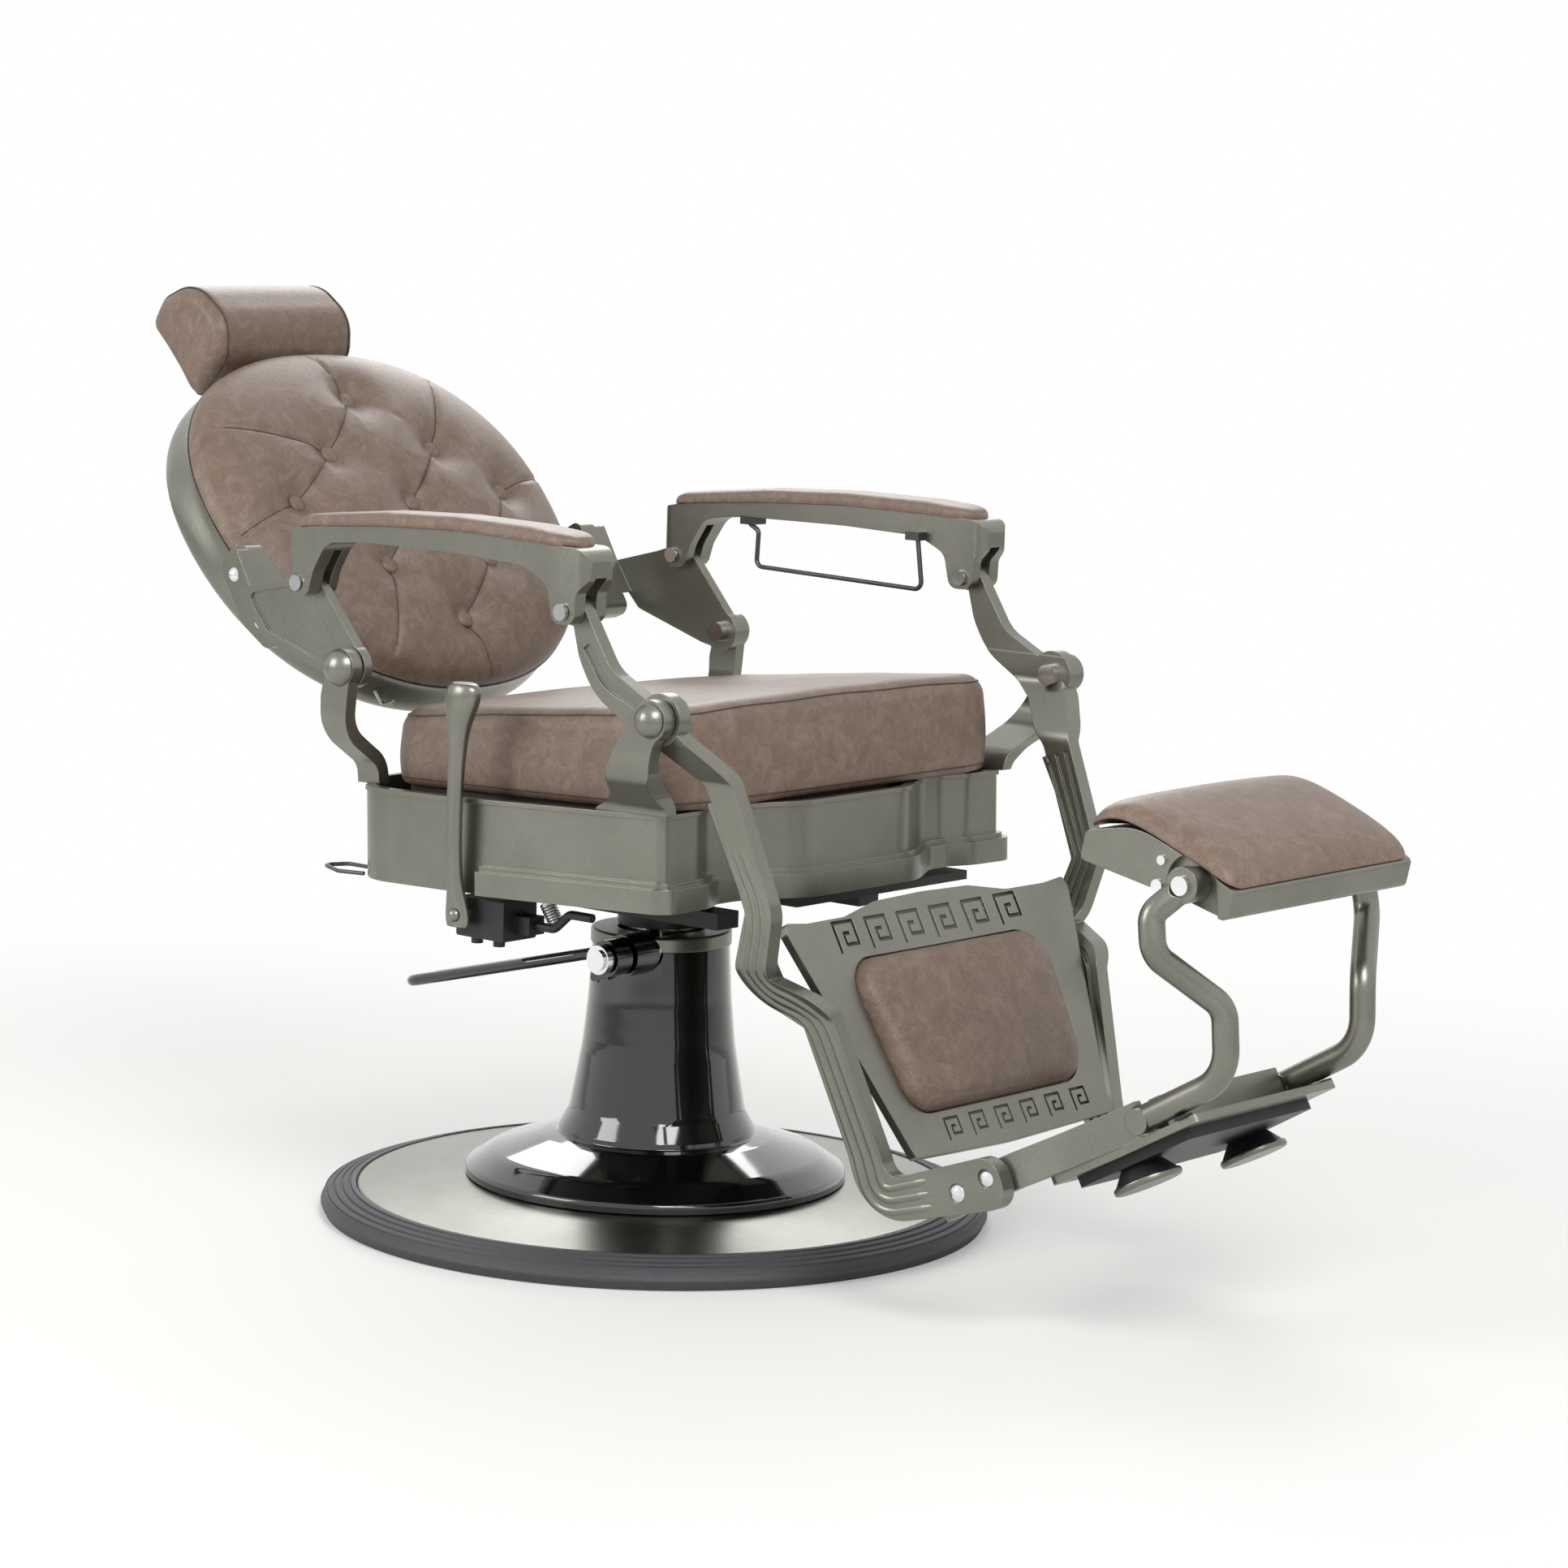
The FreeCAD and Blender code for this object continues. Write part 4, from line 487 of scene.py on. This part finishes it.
seam_spot = seat_rim + inward(seat_rim) * EDGE_ROUND * (1 - math.cos(SEAM_TURN))
seam_level = seat_top(*seam_spot.T) - EDGE_ROUND * (1 - math.sin(SEAM_TURN))
seam_line = np.column_stack([seam_spot, seam_level])
seat_seam = cord_on("seat_top_seam", placed(SEAT, seam_line), 1.1, welt_and_crease_shade)
trimming(seat_seam, "seat")
# painted shade: a dark cord along the fold at the foot of the cushion
fold_shade_line = np.column_stack([seat_rim - inward(seat_rim) * 0.6,
                            np.full(len(seat_rim), FOLD_SHADE_LEVEL)])
seat_fold_shade = cord_on("seat_fold_shade", placed(SEAT, fold_shade_line), 1.0, welt_and_crease_shade)
trimming(seat_fold_shade, "seat")

# %% [markdown]
# The back cushion is button tufted: the cover is pulled through the foam at each button, and the
# spare leather folds into pleats that run from button to button and out to the rim. The shape is
# a superellipse dome, less a deep soft dimple at each button and a narrow valley along each
# pleat. A thin dark cord laid in each valley is painted shade of its crease.

# %% Tufted back
BACK_HALF, BACK_TALL, BACK_RISE, ROUND = 249.8, 218.1, 58.6, 2.2
BACK_FLARE, BACK_UNDER = 0.04, 13.0
WELT_HALF, WELT_TALL, WELT_Y, WELT_RADIUS, WELT_STEPS = 246, 214.4, -3.2, 3.6, 240
BUTTONS = np.array([(0, 138), (-79, 64), (79, 64), (-155, 8), (0, -6), (155, 8), (-77, -80),
                    (77, -80), (0, -150)], float)
# pairs of buttons, and a button with the point of the rim that its pleat runs to
PLEATS = [(0, 1), (2, 4), (4, 6), (5, 7), (7, 8), (1, 3)]
FOLDS = [(0, 2), (1, 4), (2, 5), (4, 7), (3, 6), (6, 8)]
RIM_PLEATS = [(0, -14, 216), (2, 150, 165), (5, 244, 30), (1, -205, 115), (3, -247, -20),
             (6, -120, -180), (8, 12, -217)]


def near_line(x, z, p, q):
    """Distance from points to the stretch p-q, and the share of the way along it."""
    d = q - p
    share = np.clip(((x - p[0]) * d[0] + (z - p[1]) * d[1]) / (d @ d), 0, 1)
    return np.hypot(x - p[0] - share * d[0], z - p[1] - share * d[1]), share


def tufting(x, z):
    """How far the cover is pulled in: dimples at buttons, valleys along pleats, soft folds."""
    pull = np.zeros_like(x)
    for i, j in PLEATS:
        away, share = near_line(x, z, BUTTONS[i], BUTTONS[j])
        deep = 5.5 + 5 * (2 * share - 1) ** 2
        pull = np.maximum(pull, deep * np.exp(-(away / 15) ** 1.5) + 2.6 * np.exp(-(away / 3) ** 2))
    for i, rim_x, rim_z in RIM_PLEATS:
        away, share = near_line(x, z, BUTTONS[i], np.array([rim_x, rim_z], float))
        deep = 9 * (1 - share) ** 1.6
        pull = np.maximum(pull, deep * np.exp(-(away / 13) ** 1.5) + 2.6 * np.exp(-(away / 3) ** 2))
    for i, j in FOLDS:
        away, share = near_line(x, z, BUTTONS[i], BUTTONS[j])
        deep = 2.5 + 7 * (2 * share - 1) ** 2
        pull = np.maximum(pull, deep * np.exp(-(away / 11) ** 1.6))
    dimple = np.zeros_like(x)
    for bx, bz in BUTTONS:
        dimple = np.maximum(dimple, 20.5 * np.exp(-(np.hypot(x - bx, z - bz) / 27) ** 1.5))
    return np.maximum(pull, dimple) + 0.2 * np.minimum(pull, dimple)


def superellipse(turn):
    """Shares of half width and height at an angle: sign(c) |c|^(2/n) and sign(s) |s|^(2/n)."""
    c, s = np.cos(turn), np.sin(turn)
    return np.sign(c) * np.abs(c) ** (2 / ROUND), np.sign(s) * np.abs(s) ** (2 / ROUND)


def back_face(x, z):
    """y = -rise (1 - |x/a|^n - |z/b|^n)^(1/n), 2 mm fuller, with the tufting pulled in."""
    wide = BACK_HALF * (1 + BACK_FLARE * z / BACK_TALL)
    rest = 1 - np.abs(x / wide) ** ROUND - np.abs(z / BACK_TALL) ** ROUND
    rise = BACK_RISE * np.maximum(0, rest) ** (1 / ROUND)
    calm = np.clip(rise / 20, 0, 1)
    return -1.5 - rise - 2.0 * calm + tufting(x, z) * calm


def tufted_back(rings, steps):
    """Polar grid: x and z are r times the superellipse of the rim, and y comes from back_face."""
    edge_x, edge_z = superellipse(np.linspace(0, 2 * math.pi, steps, endpoint=False))
    r = np.sin(np.linspace(0, math.pi / 2, rings))[:, None]
    x = BACK_HALF * r * edge_x * (1 + BACK_FLARE * r * edge_z)
    z = BACK_TALL * r * edge_z
    front = np.stack([x, back_face(x, z), z], -1)
    under = [np.stack([front[-1, :, 0] * k, np.full(steps, y0), front[-1, :, 2] * k], -1)
             for k, y0 in ((0.978, 0.5), (0.975, BACK_UNDER), (0.5, BACK_UNDER),
                           (0.0, BACK_UNDER))]
    return np.concatenate([front, np.stack(under)])


back_cushion = surface("back_cushion_leather", placed(BACK, tufted_back(200, 480)), leather)
upholstery(back_cushion, "back", "back_cushion", fill=0.85)
edge_x, edge_z = superellipse(np.linspace(0, 2 * math.pi, WELT_STEPS, endpoint=False))
welt_line = np.stack([WELT_HALF * edge_x * (1 + BACK_FLARE * edge_z),
                      np.full(WELT_STEPS, WELT_Y), WELT_TALL * edge_z], -1)
back_welt = cord_on("back_welt", placed(BACK, welt_line), WELT_RADIUS, welt_and_crease_shade)
trimming(back_welt, "back")


# painted shade: a thin dark cord along each pleat valley stands for the shade in its crease
def pleat_shade_cord(name, ends):
    """A dark cord of painted crease shade in the pleat valley between two points of the back's
    face.
    """
    share = np.linspace(0.1, 0.93, 60)[:, None]
    spot = np.array(ends[0]) * (1 - share) + np.array(ends[1]) * share
    path = np.column_stack([spot[:, 0], back_face(spot[:, 0], spot[:, 1]) - 0.2, spot[:, 1]])
    shade_cord = cord_on(name, placed(BACK, path), 0.75, welt_and_crease_shade, closed=False, sides=6)
    trimming(shade_cord, "back")


# painted crease shade along each pleat, button to button and button to rim
for number, (i, j) in enumerate(PLEATS):
    pleat_shade_cord("back_pleat_shade_%d" % number, (BUTTONS[i], BUTTONS[j]))
for number, (i, rim_x, rim_z) in enumerate(RIM_PLEATS):
    pleat_shade_cord("back_rim_pleat_shade_%d" % number, (BUTTONS[i], (rim_x, rim_z)))

# %% [markdown]
# The headrest is a rolled pad on a steel tongue. Its side view is one closed line with rounded
# corners; the same line is repeated across the width and shrinks at both ends, as a sewn end
# panel does.

# %% Headrest pad
HEAD_SIDE = [(71, 221, 10), (76, 330, 14), (46, 341, 26), (-4, 326, 50), (-20, 262, 40),
             (8, 231, 26)]
HEAD_HALF, HEAD_END, HEAD_WELT_X = 104.0, 20.0, 92.0


def rolled_pad(side_line, half, end, steps):
    """The side line at each x; within end of a side it moves in by 0.75 end (1 - cos)."""
    turn = np.linspace(-1, 1, steps)
    x = half * np.sin(turn * math.pi / 2)
    past = np.clip((np.abs(x) - (half - end)) / end, 0, 1)
    inset = end * (1 - np.sqrt(1 - past ** 2)) * 0.75
    middle = side_line.mean(0)
    reach = np.linalg.norm(side_line - middle, axis=1)
    scale = 1 - inset[:, None] / reach[None]
    crown = 1 + 0.02 * np.cos(turn * math.pi / 2)[:, None]
    spot = middle + (side_line - middle)[None] * (scale * crown)[..., None]
    rows = np.concatenate([np.broadcast_to(x[:, None, None], spot.shape[:2] + (1,)), spot], -1)
    ends = [np.broadcast_to([x[k], *middle], rows[:1].shape) for k in (0, -1)]
    return np.concatenate([ends[0], rows, ends[1]])


head_line = rim_line(HEAD_SIDE, 120)
head_points = rolled_pad(head_line, HEAD_HALF, HEAD_END, 70)
headrest_pad = surface("headrest_leather", placed(BACK, head_points), leather)
upholstery(headrest_pad, "headrest", "headrest_pad", fill=0.75)
middle = head_line.mean(0)
ring = middle + (head_line - middle) * 0.995
for side, word in ((-1, "right"), (1, "left")):
    path = np.column_stack([np.full(len(ring), side * HEAD_WELT_X), ring])
    welt = cord_on("headrest_welt_" + word, placed(BACK, path), 1.2, welt_and_crease_shade)
    trimming(welt, "headrest")

# %% [markdown]
# Each armrest has a long leather pad, screwed down on the casting and tapering to a rounded tip.
# It is made as a row of sections along the arm: flat below, softly squared above, narrowing at
# both ends.

# %% Armrest pads
# the pad's floor and roof at each y, and the x of its outer and inner edge at three y
ALONG = [-166, -160, -103, 0, 105, 216, 233]
PAD_FLOOR = [725.4, 726.4, 728.4, 730.4, 726.4, 718.4, 715.4]
PAD_ROOF = [734.0, 737.5, 742.6, 744.4, 740.6, 730.0, 724.0]
EDGE_AT, PAD_OUTER, PAD_INNER = [-168, -150, 234], [336, 337, 311], [286, 285, 265]
PAD_MIDDLE, PAD_REACH, PAD_SIDES = 34, 200, 64


def arm_pad(side):
    """Section at y: x = middle + half |cos|^0.4, z = floor + height sin^0.62, signs kept."""
    share = np.linspace(-1, 1, 90)
    y = PAD_MIDDLE + PAD_REACH * np.sin(share * math.pi / 2)
    outer, inner = np.interp(y, EDGE_AT, PAD_OUTER), np.interp(y, EDGE_AT, PAD_INNER)
    tip = np.sqrt(np.clip(1 - (np.clip(-136 - y, 0, 30) / 30.5) ** 2, 0.0, 1))
    heel = np.sqrt(np.clip(1 - (np.clip(y - 222, 0, 12) / 12.5) ** 2, 0.0, 1))
    half = (outer - inner) / 2 * np.minimum(tip, heel)
    middle = (outer + inner) / 2
    floor, roof = np.interp(y, ALONG, PAD_FLOOR), np.interp(y, ALONG, PAD_ROOF)
    height = (roof - floor) * np.minimum(tip, heel) ** 0.6
    turn = np.linspace(0, 2 * math.pi, PAD_SIDES, endpoint=False)[None]
    c, s = np.cos(turn), np.sin(turn)
    x = middle[:, None] + half[:, None] * np.sign(c) * np.abs(c) ** 0.4
    z = floor[:, None] + height[:, None] * np.where(s > 0, np.abs(s) ** 0.62, -0.02)
    rows = np.stack([side * x, np.broadcast_to(y[:, None], x.shape), z], -1)
    ends = [rows[k].mean(0)[None, None].repeat(PAD_SIDES, 1) for k in (0, -1)]
    return np.concatenate([ends[0], rows, ends[1]])


for side, word in ((1, "left"), (-1, "right")):
    pad = surface("armrest_leather_" + word, arm_pad(side), leather)
    upholstery(pad, "arm_" + word, "armrest_pad_" + word, fill=0.8)

# %% [markdown]
# The calf pad and the foot cushion are low pillows held in a frame. Each is a rim shrunk in rings
# to its middle, with a height that stays nearly full until close to the rim and then falls
# steeply, like an over-stuffed cover that is stapled down.

# %% Calf pad and foot cushion
FLAT_SHARE = 0.78


def pillow(rim, floor, roof, square, rings):
    """Ring r lies at middle + r (rim - middle), its height (1 - r^square)^0.5 of the pillow's."""
    middle = rim.mean(0)
    flat_part = np.linspace(0, FLAT_SHARE, 26)
    turn = np.linspace(math.asin(FLAT_SHARE ** (square / 2)), math.pi / 2, rings)[1:]
    share = np.concatenate([flat_part, np.sin(turn) ** (2 / square)])
    spot = middle + share[:, None, None] * (rim - middle)[None]
    low, high = floor(spot[..., 0], spot[..., 1]), roof(spot[..., 0], spot[..., 1])
    full = np.sqrt(np.maximum(0, 1 - share ** square))[:, None]
    top = np.concatenate([spot, (low + (high - low) * full)[..., None]], -1)
    under = top[::-1][[8, -1]].copy()
    under[..., 2] = floor(under[..., 0], under[..., 1])
    return np.concatenate([top, under])


def calf_floor(a, b):
    """The pocket's floor behind the panel's face."""
    return 0 * a - 10.7


def calf_roof(a, b):
    """An ellipsoid: height (1 - (a/320)^2 - ((b - 122)/190)^2)^0.5."""
    return -7 + 25.5 * np.sqrt(1 - (a / 320) ** 2 - ((b - 122) / 190) ** 2)


CALF_PLAN = [(-137.5, 41.5, 33), (137.5, 41.5, 33), (154.5, 202.5, 35), (-154.5, 202.5, 35)]
calf = pillow(rim_line(CALF_PLAN, 240), calf_floor, calf_roof, 14, 18)
calf_points = np.stack([calf[..., 0], -calf[..., 2], calf[..., 1]], -1)
calf_pad = surface("calf_leather", placed(PANEL, calf_points), leather)
upholstery(calf_pad, "leg_frame", "calf_pad", fill=0.75)

FOOT_PLAN = [(-149.3, -811.5, 14), (149.3, -811.5, 14), (149.3, -647, 14), (-149.3, -647, 14)]
FOOT_Y = [-812, -778, -740, -703, -646]
FOOT_FLOOR = [457.5, 473.7, 489.7, 503.7, 495.5]
FOOT_ROOF = [470, 494, 511, 523.5, 507]


def smooth_through(y, level):
    """A quartic, the smoothest curve through the five heights along the foot pad."""
    return np.polyval(np.polyfit(FOOT_Y, level, 4), y)


def foot_floor(a, b):
    """The tray's curved floor."""
    return smooth_through(b, FOOT_FLOOR)


def foot_roof(a, b):
    """The curved top, with a crown of 3 mm across the width."""
    return smooth_through(b, FOOT_ROOF) + 1.5 - (a / 149) ** 2 * 3


foot = pillow(rim_line(FOOT_PLAN, 240), foot_floor, foot_roof, 16, 18)
foot_cushion = surface("foot_leather", foot, leather)
upholstery(foot_cushion, "foot_pad", "foot_cushion", fill=0.75)

# %% [markdown]
# The outer face of each front link is cast with three soft ridges side by side, which follow its
# bends from below the elbow, round the heel, and end before the two bolts. Each ridge is a round
# bead sunk into the face, so that only its crown stands out, and the link's own paint covers it.

# %% Ridges on the links
# side view of a link below its elbow: y, z and half width there, in mm
LINK_SIDE = np.array([(-300, 494, 16), (-356, 390, 16), (-334, 314, 19), (-390, 292, 19.5),
                      (-449, 115, 20), (-530, 140, 23)], float)
# front view of its middle line: z and x, in mm
LINK_FRONT = np.array([(60, 183), (160, 188), (293, 214), (338, 254), (385, 261), (512, 268),
                       (558, 310.5)], float)
LINK_HALF_THICK, BEAD, PROUD = 8.5, 5.4, 1.5
RIDGE_SHARES, RIDGE_STEPS, WINDOW, FACE_WINDOW = (-0.56, 0.0, 0.56), 260, 12, 9


def smoothed(line, window):
    """An evenly divided line after a moving mean, with its ends kept."""
    length = np.concatenate([[0], np.cumsum(np.linalg.norm(np.diff(line, axis=0), axis=1))])
    even = np.linspace(0, length[-1], RIDGE_STEPS)
    line = np.stack([np.interp(even, length, line[:, k]) for k in range(line.shape[1])], -1)
    padded = np.vstack([line[:1].repeat(window, 0), line, line[-1:].repeat(window, 0)])
    total = np.cumsum(np.vstack([padded[:1] * 0, padded]), axis=0)
    mean = (total[2 * window + 1:] - total[:-2 * window - 1]) / (2 * window + 1)
    step = np.arange(RIDGE_STEPS)
    fade = np.clip(np.minimum(step, step[::-1]) / window, 0, 1)[:, None]
    return line * (1 - fade) + mean * fade


def outer_face(z):
    """x of the outer face: middle line plus half the thickness, measured square to the line."""
    fine = np.arange(LINK_FRONT[0, 0], LINK_FRONT[-1, 0])
    middle = np.interp(fine, LINK_FRONT[:, 0], LINK_FRONT[:, 1])
    mean = np.ones(2 * FACE_WINDOW + 1) / (2 * FACE_WINDOW + 1)
    middle = np.convolve(np.pad(middle, FACE_WINDOW, mode="edge"), mean, mode="valid")
    face = middle + LINK_HALF_THICK * np.hypot(1, np.gradient(middle))
    return np.interp(z, fine, face)


def ridge(share, side):
    """The side path moved sideways by share of its half width, laid on the outer face."""
    middle = smoothed(LINK_SIDE, WINDOW)
    tangent = np.gradient(middle[:, :2], axis=0)
    tangent /= np.linalg.norm(tangent, axis=1)[:, None]
    normal = np.stack([-tangent[:, 1], tangent[:, 0]], -1)
    spot = middle[:, :2] + normal * (share * middle[:, 2])[:, None]
    sink = np.interp(np.arange(RIDGE_STEPS), [0, 40, 244, 259], [3.5, 0, 0, 3.0])
    x = outer_face(spot[:, 1]) - (BEAD - PROUD) - sink
    return np.column_stack([side * x, spot])


for side, word in ((1, "left"), (-1, "right")):
    for number, share in enumerate(RIDGE_SHARES):
        bead = cord_on("link_ridge_%s_%d" % (word, number), ridge(share, side), BEAD, pewter,
                       closed=False, sides=16)
        trimming(bead, "leg_frame")

# %% [markdown]
# The key border is cast into the calf panel as grooves in the same pewter, which look dark only
# by their shadow. That shadow is painted here as a thin dark ribbon on the floor of each groove:
# a squared spiral, widened to both sides with mitred corners, and repeated along the two bands.

# %% Painted shade in the key border grooves
# the corners of one spiral in strokes, the number of spirals in a band, and y of the grooves' floor
KEY_LINE = np.array([(0, 0), (0, 8), (8, 8), (8, 2), (3.2, 2), (3.2, 5), (5.6, 5)], float)
KEY_COUNT, KEY_FLOOR, KEY_SHADE_WIDTH = 6, 7.3, 0.9


def ribbon(line, width):
    """Left and right edges of a square-cornered line, mitred at each corner."""
    step = np.diff(line, axis=0)
    step /= np.linalg.norm(step, axis=1)[:, None]
    side = np.stack([-step[:, 1], step[:, 0]], -1)
    before, after = np.vstack([side[:1], side]), np.vstack([side, side[-1:]])
    middle = before + after
    middle /= np.sum(middle * before, axis=1)[:, None]
    return line + middle * width / 2, line - middle * width / 2


def painted_key_shade(name, start, pitch, level, stroke):
    """Spirals of painted-shade ribbon, pitch apart, as one mesh of quads that look forward."""
    line = KEY_LINE * stroke + [0, level]
    left, right = ribbon(line, stroke * KEY_SHADE_WIDTH)
    shift = np.stack([start + pitch * np.arange(KEY_COUNT), np.zeros(KEY_COUNT)], -1)[:, None]
    pairs = np.stack([left[None] + shift, right[None] + shift], 2)
    spots = np.insert(pairs.reshape(-1, 2), 1, KEY_FLOOR, axis=1)
    corners = len(KEY_LINE)
    first = 2 * (corners * np.arange(KEY_COUNT)[:, None] + np.arange(corners - 1)).reshape(-1, 1)
    faces = first + np.array([0, 1, 3, 2])
    mesh = bpy.data.meshes.new(name)
    mesh.from_pydata((placed(PANEL, spots) * MM).tolist(), [], faces.tolist())
    mesh.materials.append(painted_groove_shade)
    made = bpy.data.objects.new(name, mesh)
    bpy.context.scene.collection.objects.link(made)
    trimming(made, "leg_frame")
    print(name, "faces forward:", mesh.polygons[0].normal.y < 0)


# painted groove shade in the upper and lower key bands
painted_key_shade("painted_key_shade_top", -152, 52, 211, 3.9)
painted_key_shade("painted_key_shade_low", -95, 41, 10, 2.7)

# %% [markdown]
# The little return spring by the recline box is a close-wound coil of bright wire, so it is drawn
# as one: a round wire carried along a helix, in place of the ribbed sleeve of the solid model.

# %% Return spring
SPRING = (-76.0, 338.0, -35.0)
TURNS, STEPS_PER_TURN, SPRING_X, COIL_RADIUS, COIL_LENGTH, WIRE = 9, 28, -243, 7, 27, 1.1
turn = np.linspace(0, TURNS * 2 * math.pi, TURNS * STEPS_PER_TURN)
coil = np.stack([SPRING_X + COIL_RADIUS * np.cos(turn), COIL_RADIUS * np.sin(turn),
                 0.9 + COIL_LENGTH * turn / turn[-1]], -1)
spring = cord_on("return_spring", placed(SPRING, coil), WIRE, chrome, closed=False, sides=8)
trimming(spring, "seat")
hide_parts("recline_spring")

# %% [markdown]
# A plain studio: a pale floor, a soft white surround and three large lamps. Large lamps make the
# long soft highlights that show how round a casting is. The surround is white only to the camera
# and to mirrors, so that the lamps alone decide how bright the chair is.

# %% Floor, surround and lamps
FLOOR_HALF, FLOOR_DROP, LOOK_AT = 12, 0.0005, Vector((0, 0, 0.5))


def floor_sheet(half):
    """One large square just under the base."""
    mesh = bpy.data.meshes.new("studio_floor")
    mesh.from_pydata([(-half, -half, 0), (half, -half, 0), (half, half, 0), (-half, half, 0)], [],
                     [(0, 1, 2, 3)])
    made = bpy.data.objects.new("studio_floor", mesh)
    bpy.context.scene.collection.objects.link(made)
    made.location.z = -FLOOR_DROP
    return made


floor_paint, tree, where = start_material("studio_floor_paint")
reach = add(tree, "ShaderNodeVectorMath", {0: where}, operation="LENGTH")
fade = add(tree, "ShaderNodeMapRange", {"Value": reach.outputs["Value"], "From Min": 0.75,
                                        "From Max": 2.1, "To Min": 0.25, "To Max": 1.0},
           interpolation_type="SMOOTHSTEP")
to_camera = add(tree, "ShaderNodeLightPath")
share = add(tree, "ShaderNodeMath", {0: fade.outputs[0], 1: to_camera.outputs["Is Camera Ray"]},
            operation="MULTIPLY")
matt = add(tree, "ShaderNodeBsdfPrincipled", {"Base Color": linear("#f0efec"), "Roughness": 0.75})
bright = add(tree, "ShaderNodeEmission", {"Color": linear("#ffffff"), "Strength": 1.0})
end_material(tree, add(tree, "ShaderNodeMixShader", {0: share.outputs[0], 1: matt.outputs[0],
                                                     2: bright.outputs[0]}))
floor_sheet(FLOOR_HALF).data.materials.append(floor_paint)

world = bpy.data.worlds.new("studio")
bpy.context.scene.world = world
world.use_nodes = True
tree = world.node_tree
tree.nodes.clear()
ray = add(tree, "ShaderNodeLightPath")
seen = add(tree, "ShaderNodeMath", {0: ray.outputs["Is Camera Ray"],
                                    1: ray.outputs["Is Glossy Ray"]}, operation="MAXIMUM")
seen_or_through = add(tree, "ShaderNodeMath", {0: seen.outputs[0],
                                               1: ray.outputs["Is Transmission Ray"]},
                      operation="MAXIMUM")
glow = add(tree, "ShaderNodeBackground", {"Color": linear("#f4f4f4"), "Strength": 0.55})
backdrop = add(tree, "ShaderNodeBackground", {"Color": linear("#ffffff"), "Strength": 1.0})
both = add(tree, "ShaderNodeMixShader", {0: seen_or_through.outputs[0], 1: glow.outputs[0],
                                         2: backdrop.outputs[0]})
add(tree, "ShaderNodeOutputWorld", {"Surface": both.outputs[0]})


def lamp(name, spot, size, power):
    """A square area lamp at spot that looks at the middle of the chair."""
    data = bpy.data.lights.new(name, "AREA")
    data.size, data.energy = size, power
    made = bpy.data.objects.new(name, data)
    bpy.context.scene.collection.objects.link(made)
    made.location = spot
    made.rotation_euler = (LOOK_AT - Vector(spot)).to_track_quat("-Z", "Y").to_euler()


lamp("key_lamp", (-1.6, -2.6, 3.0), 1.8, 85)
lamp("side_lamp", (-3.0, 1.4, 1.8), 1.6, 45)
lamp("back_lamp", (2.4, 2.2, 2.6), 2.0, 50)
bpy.context.scene.view_settings.view_transform = "Standard"
print("studio ready")
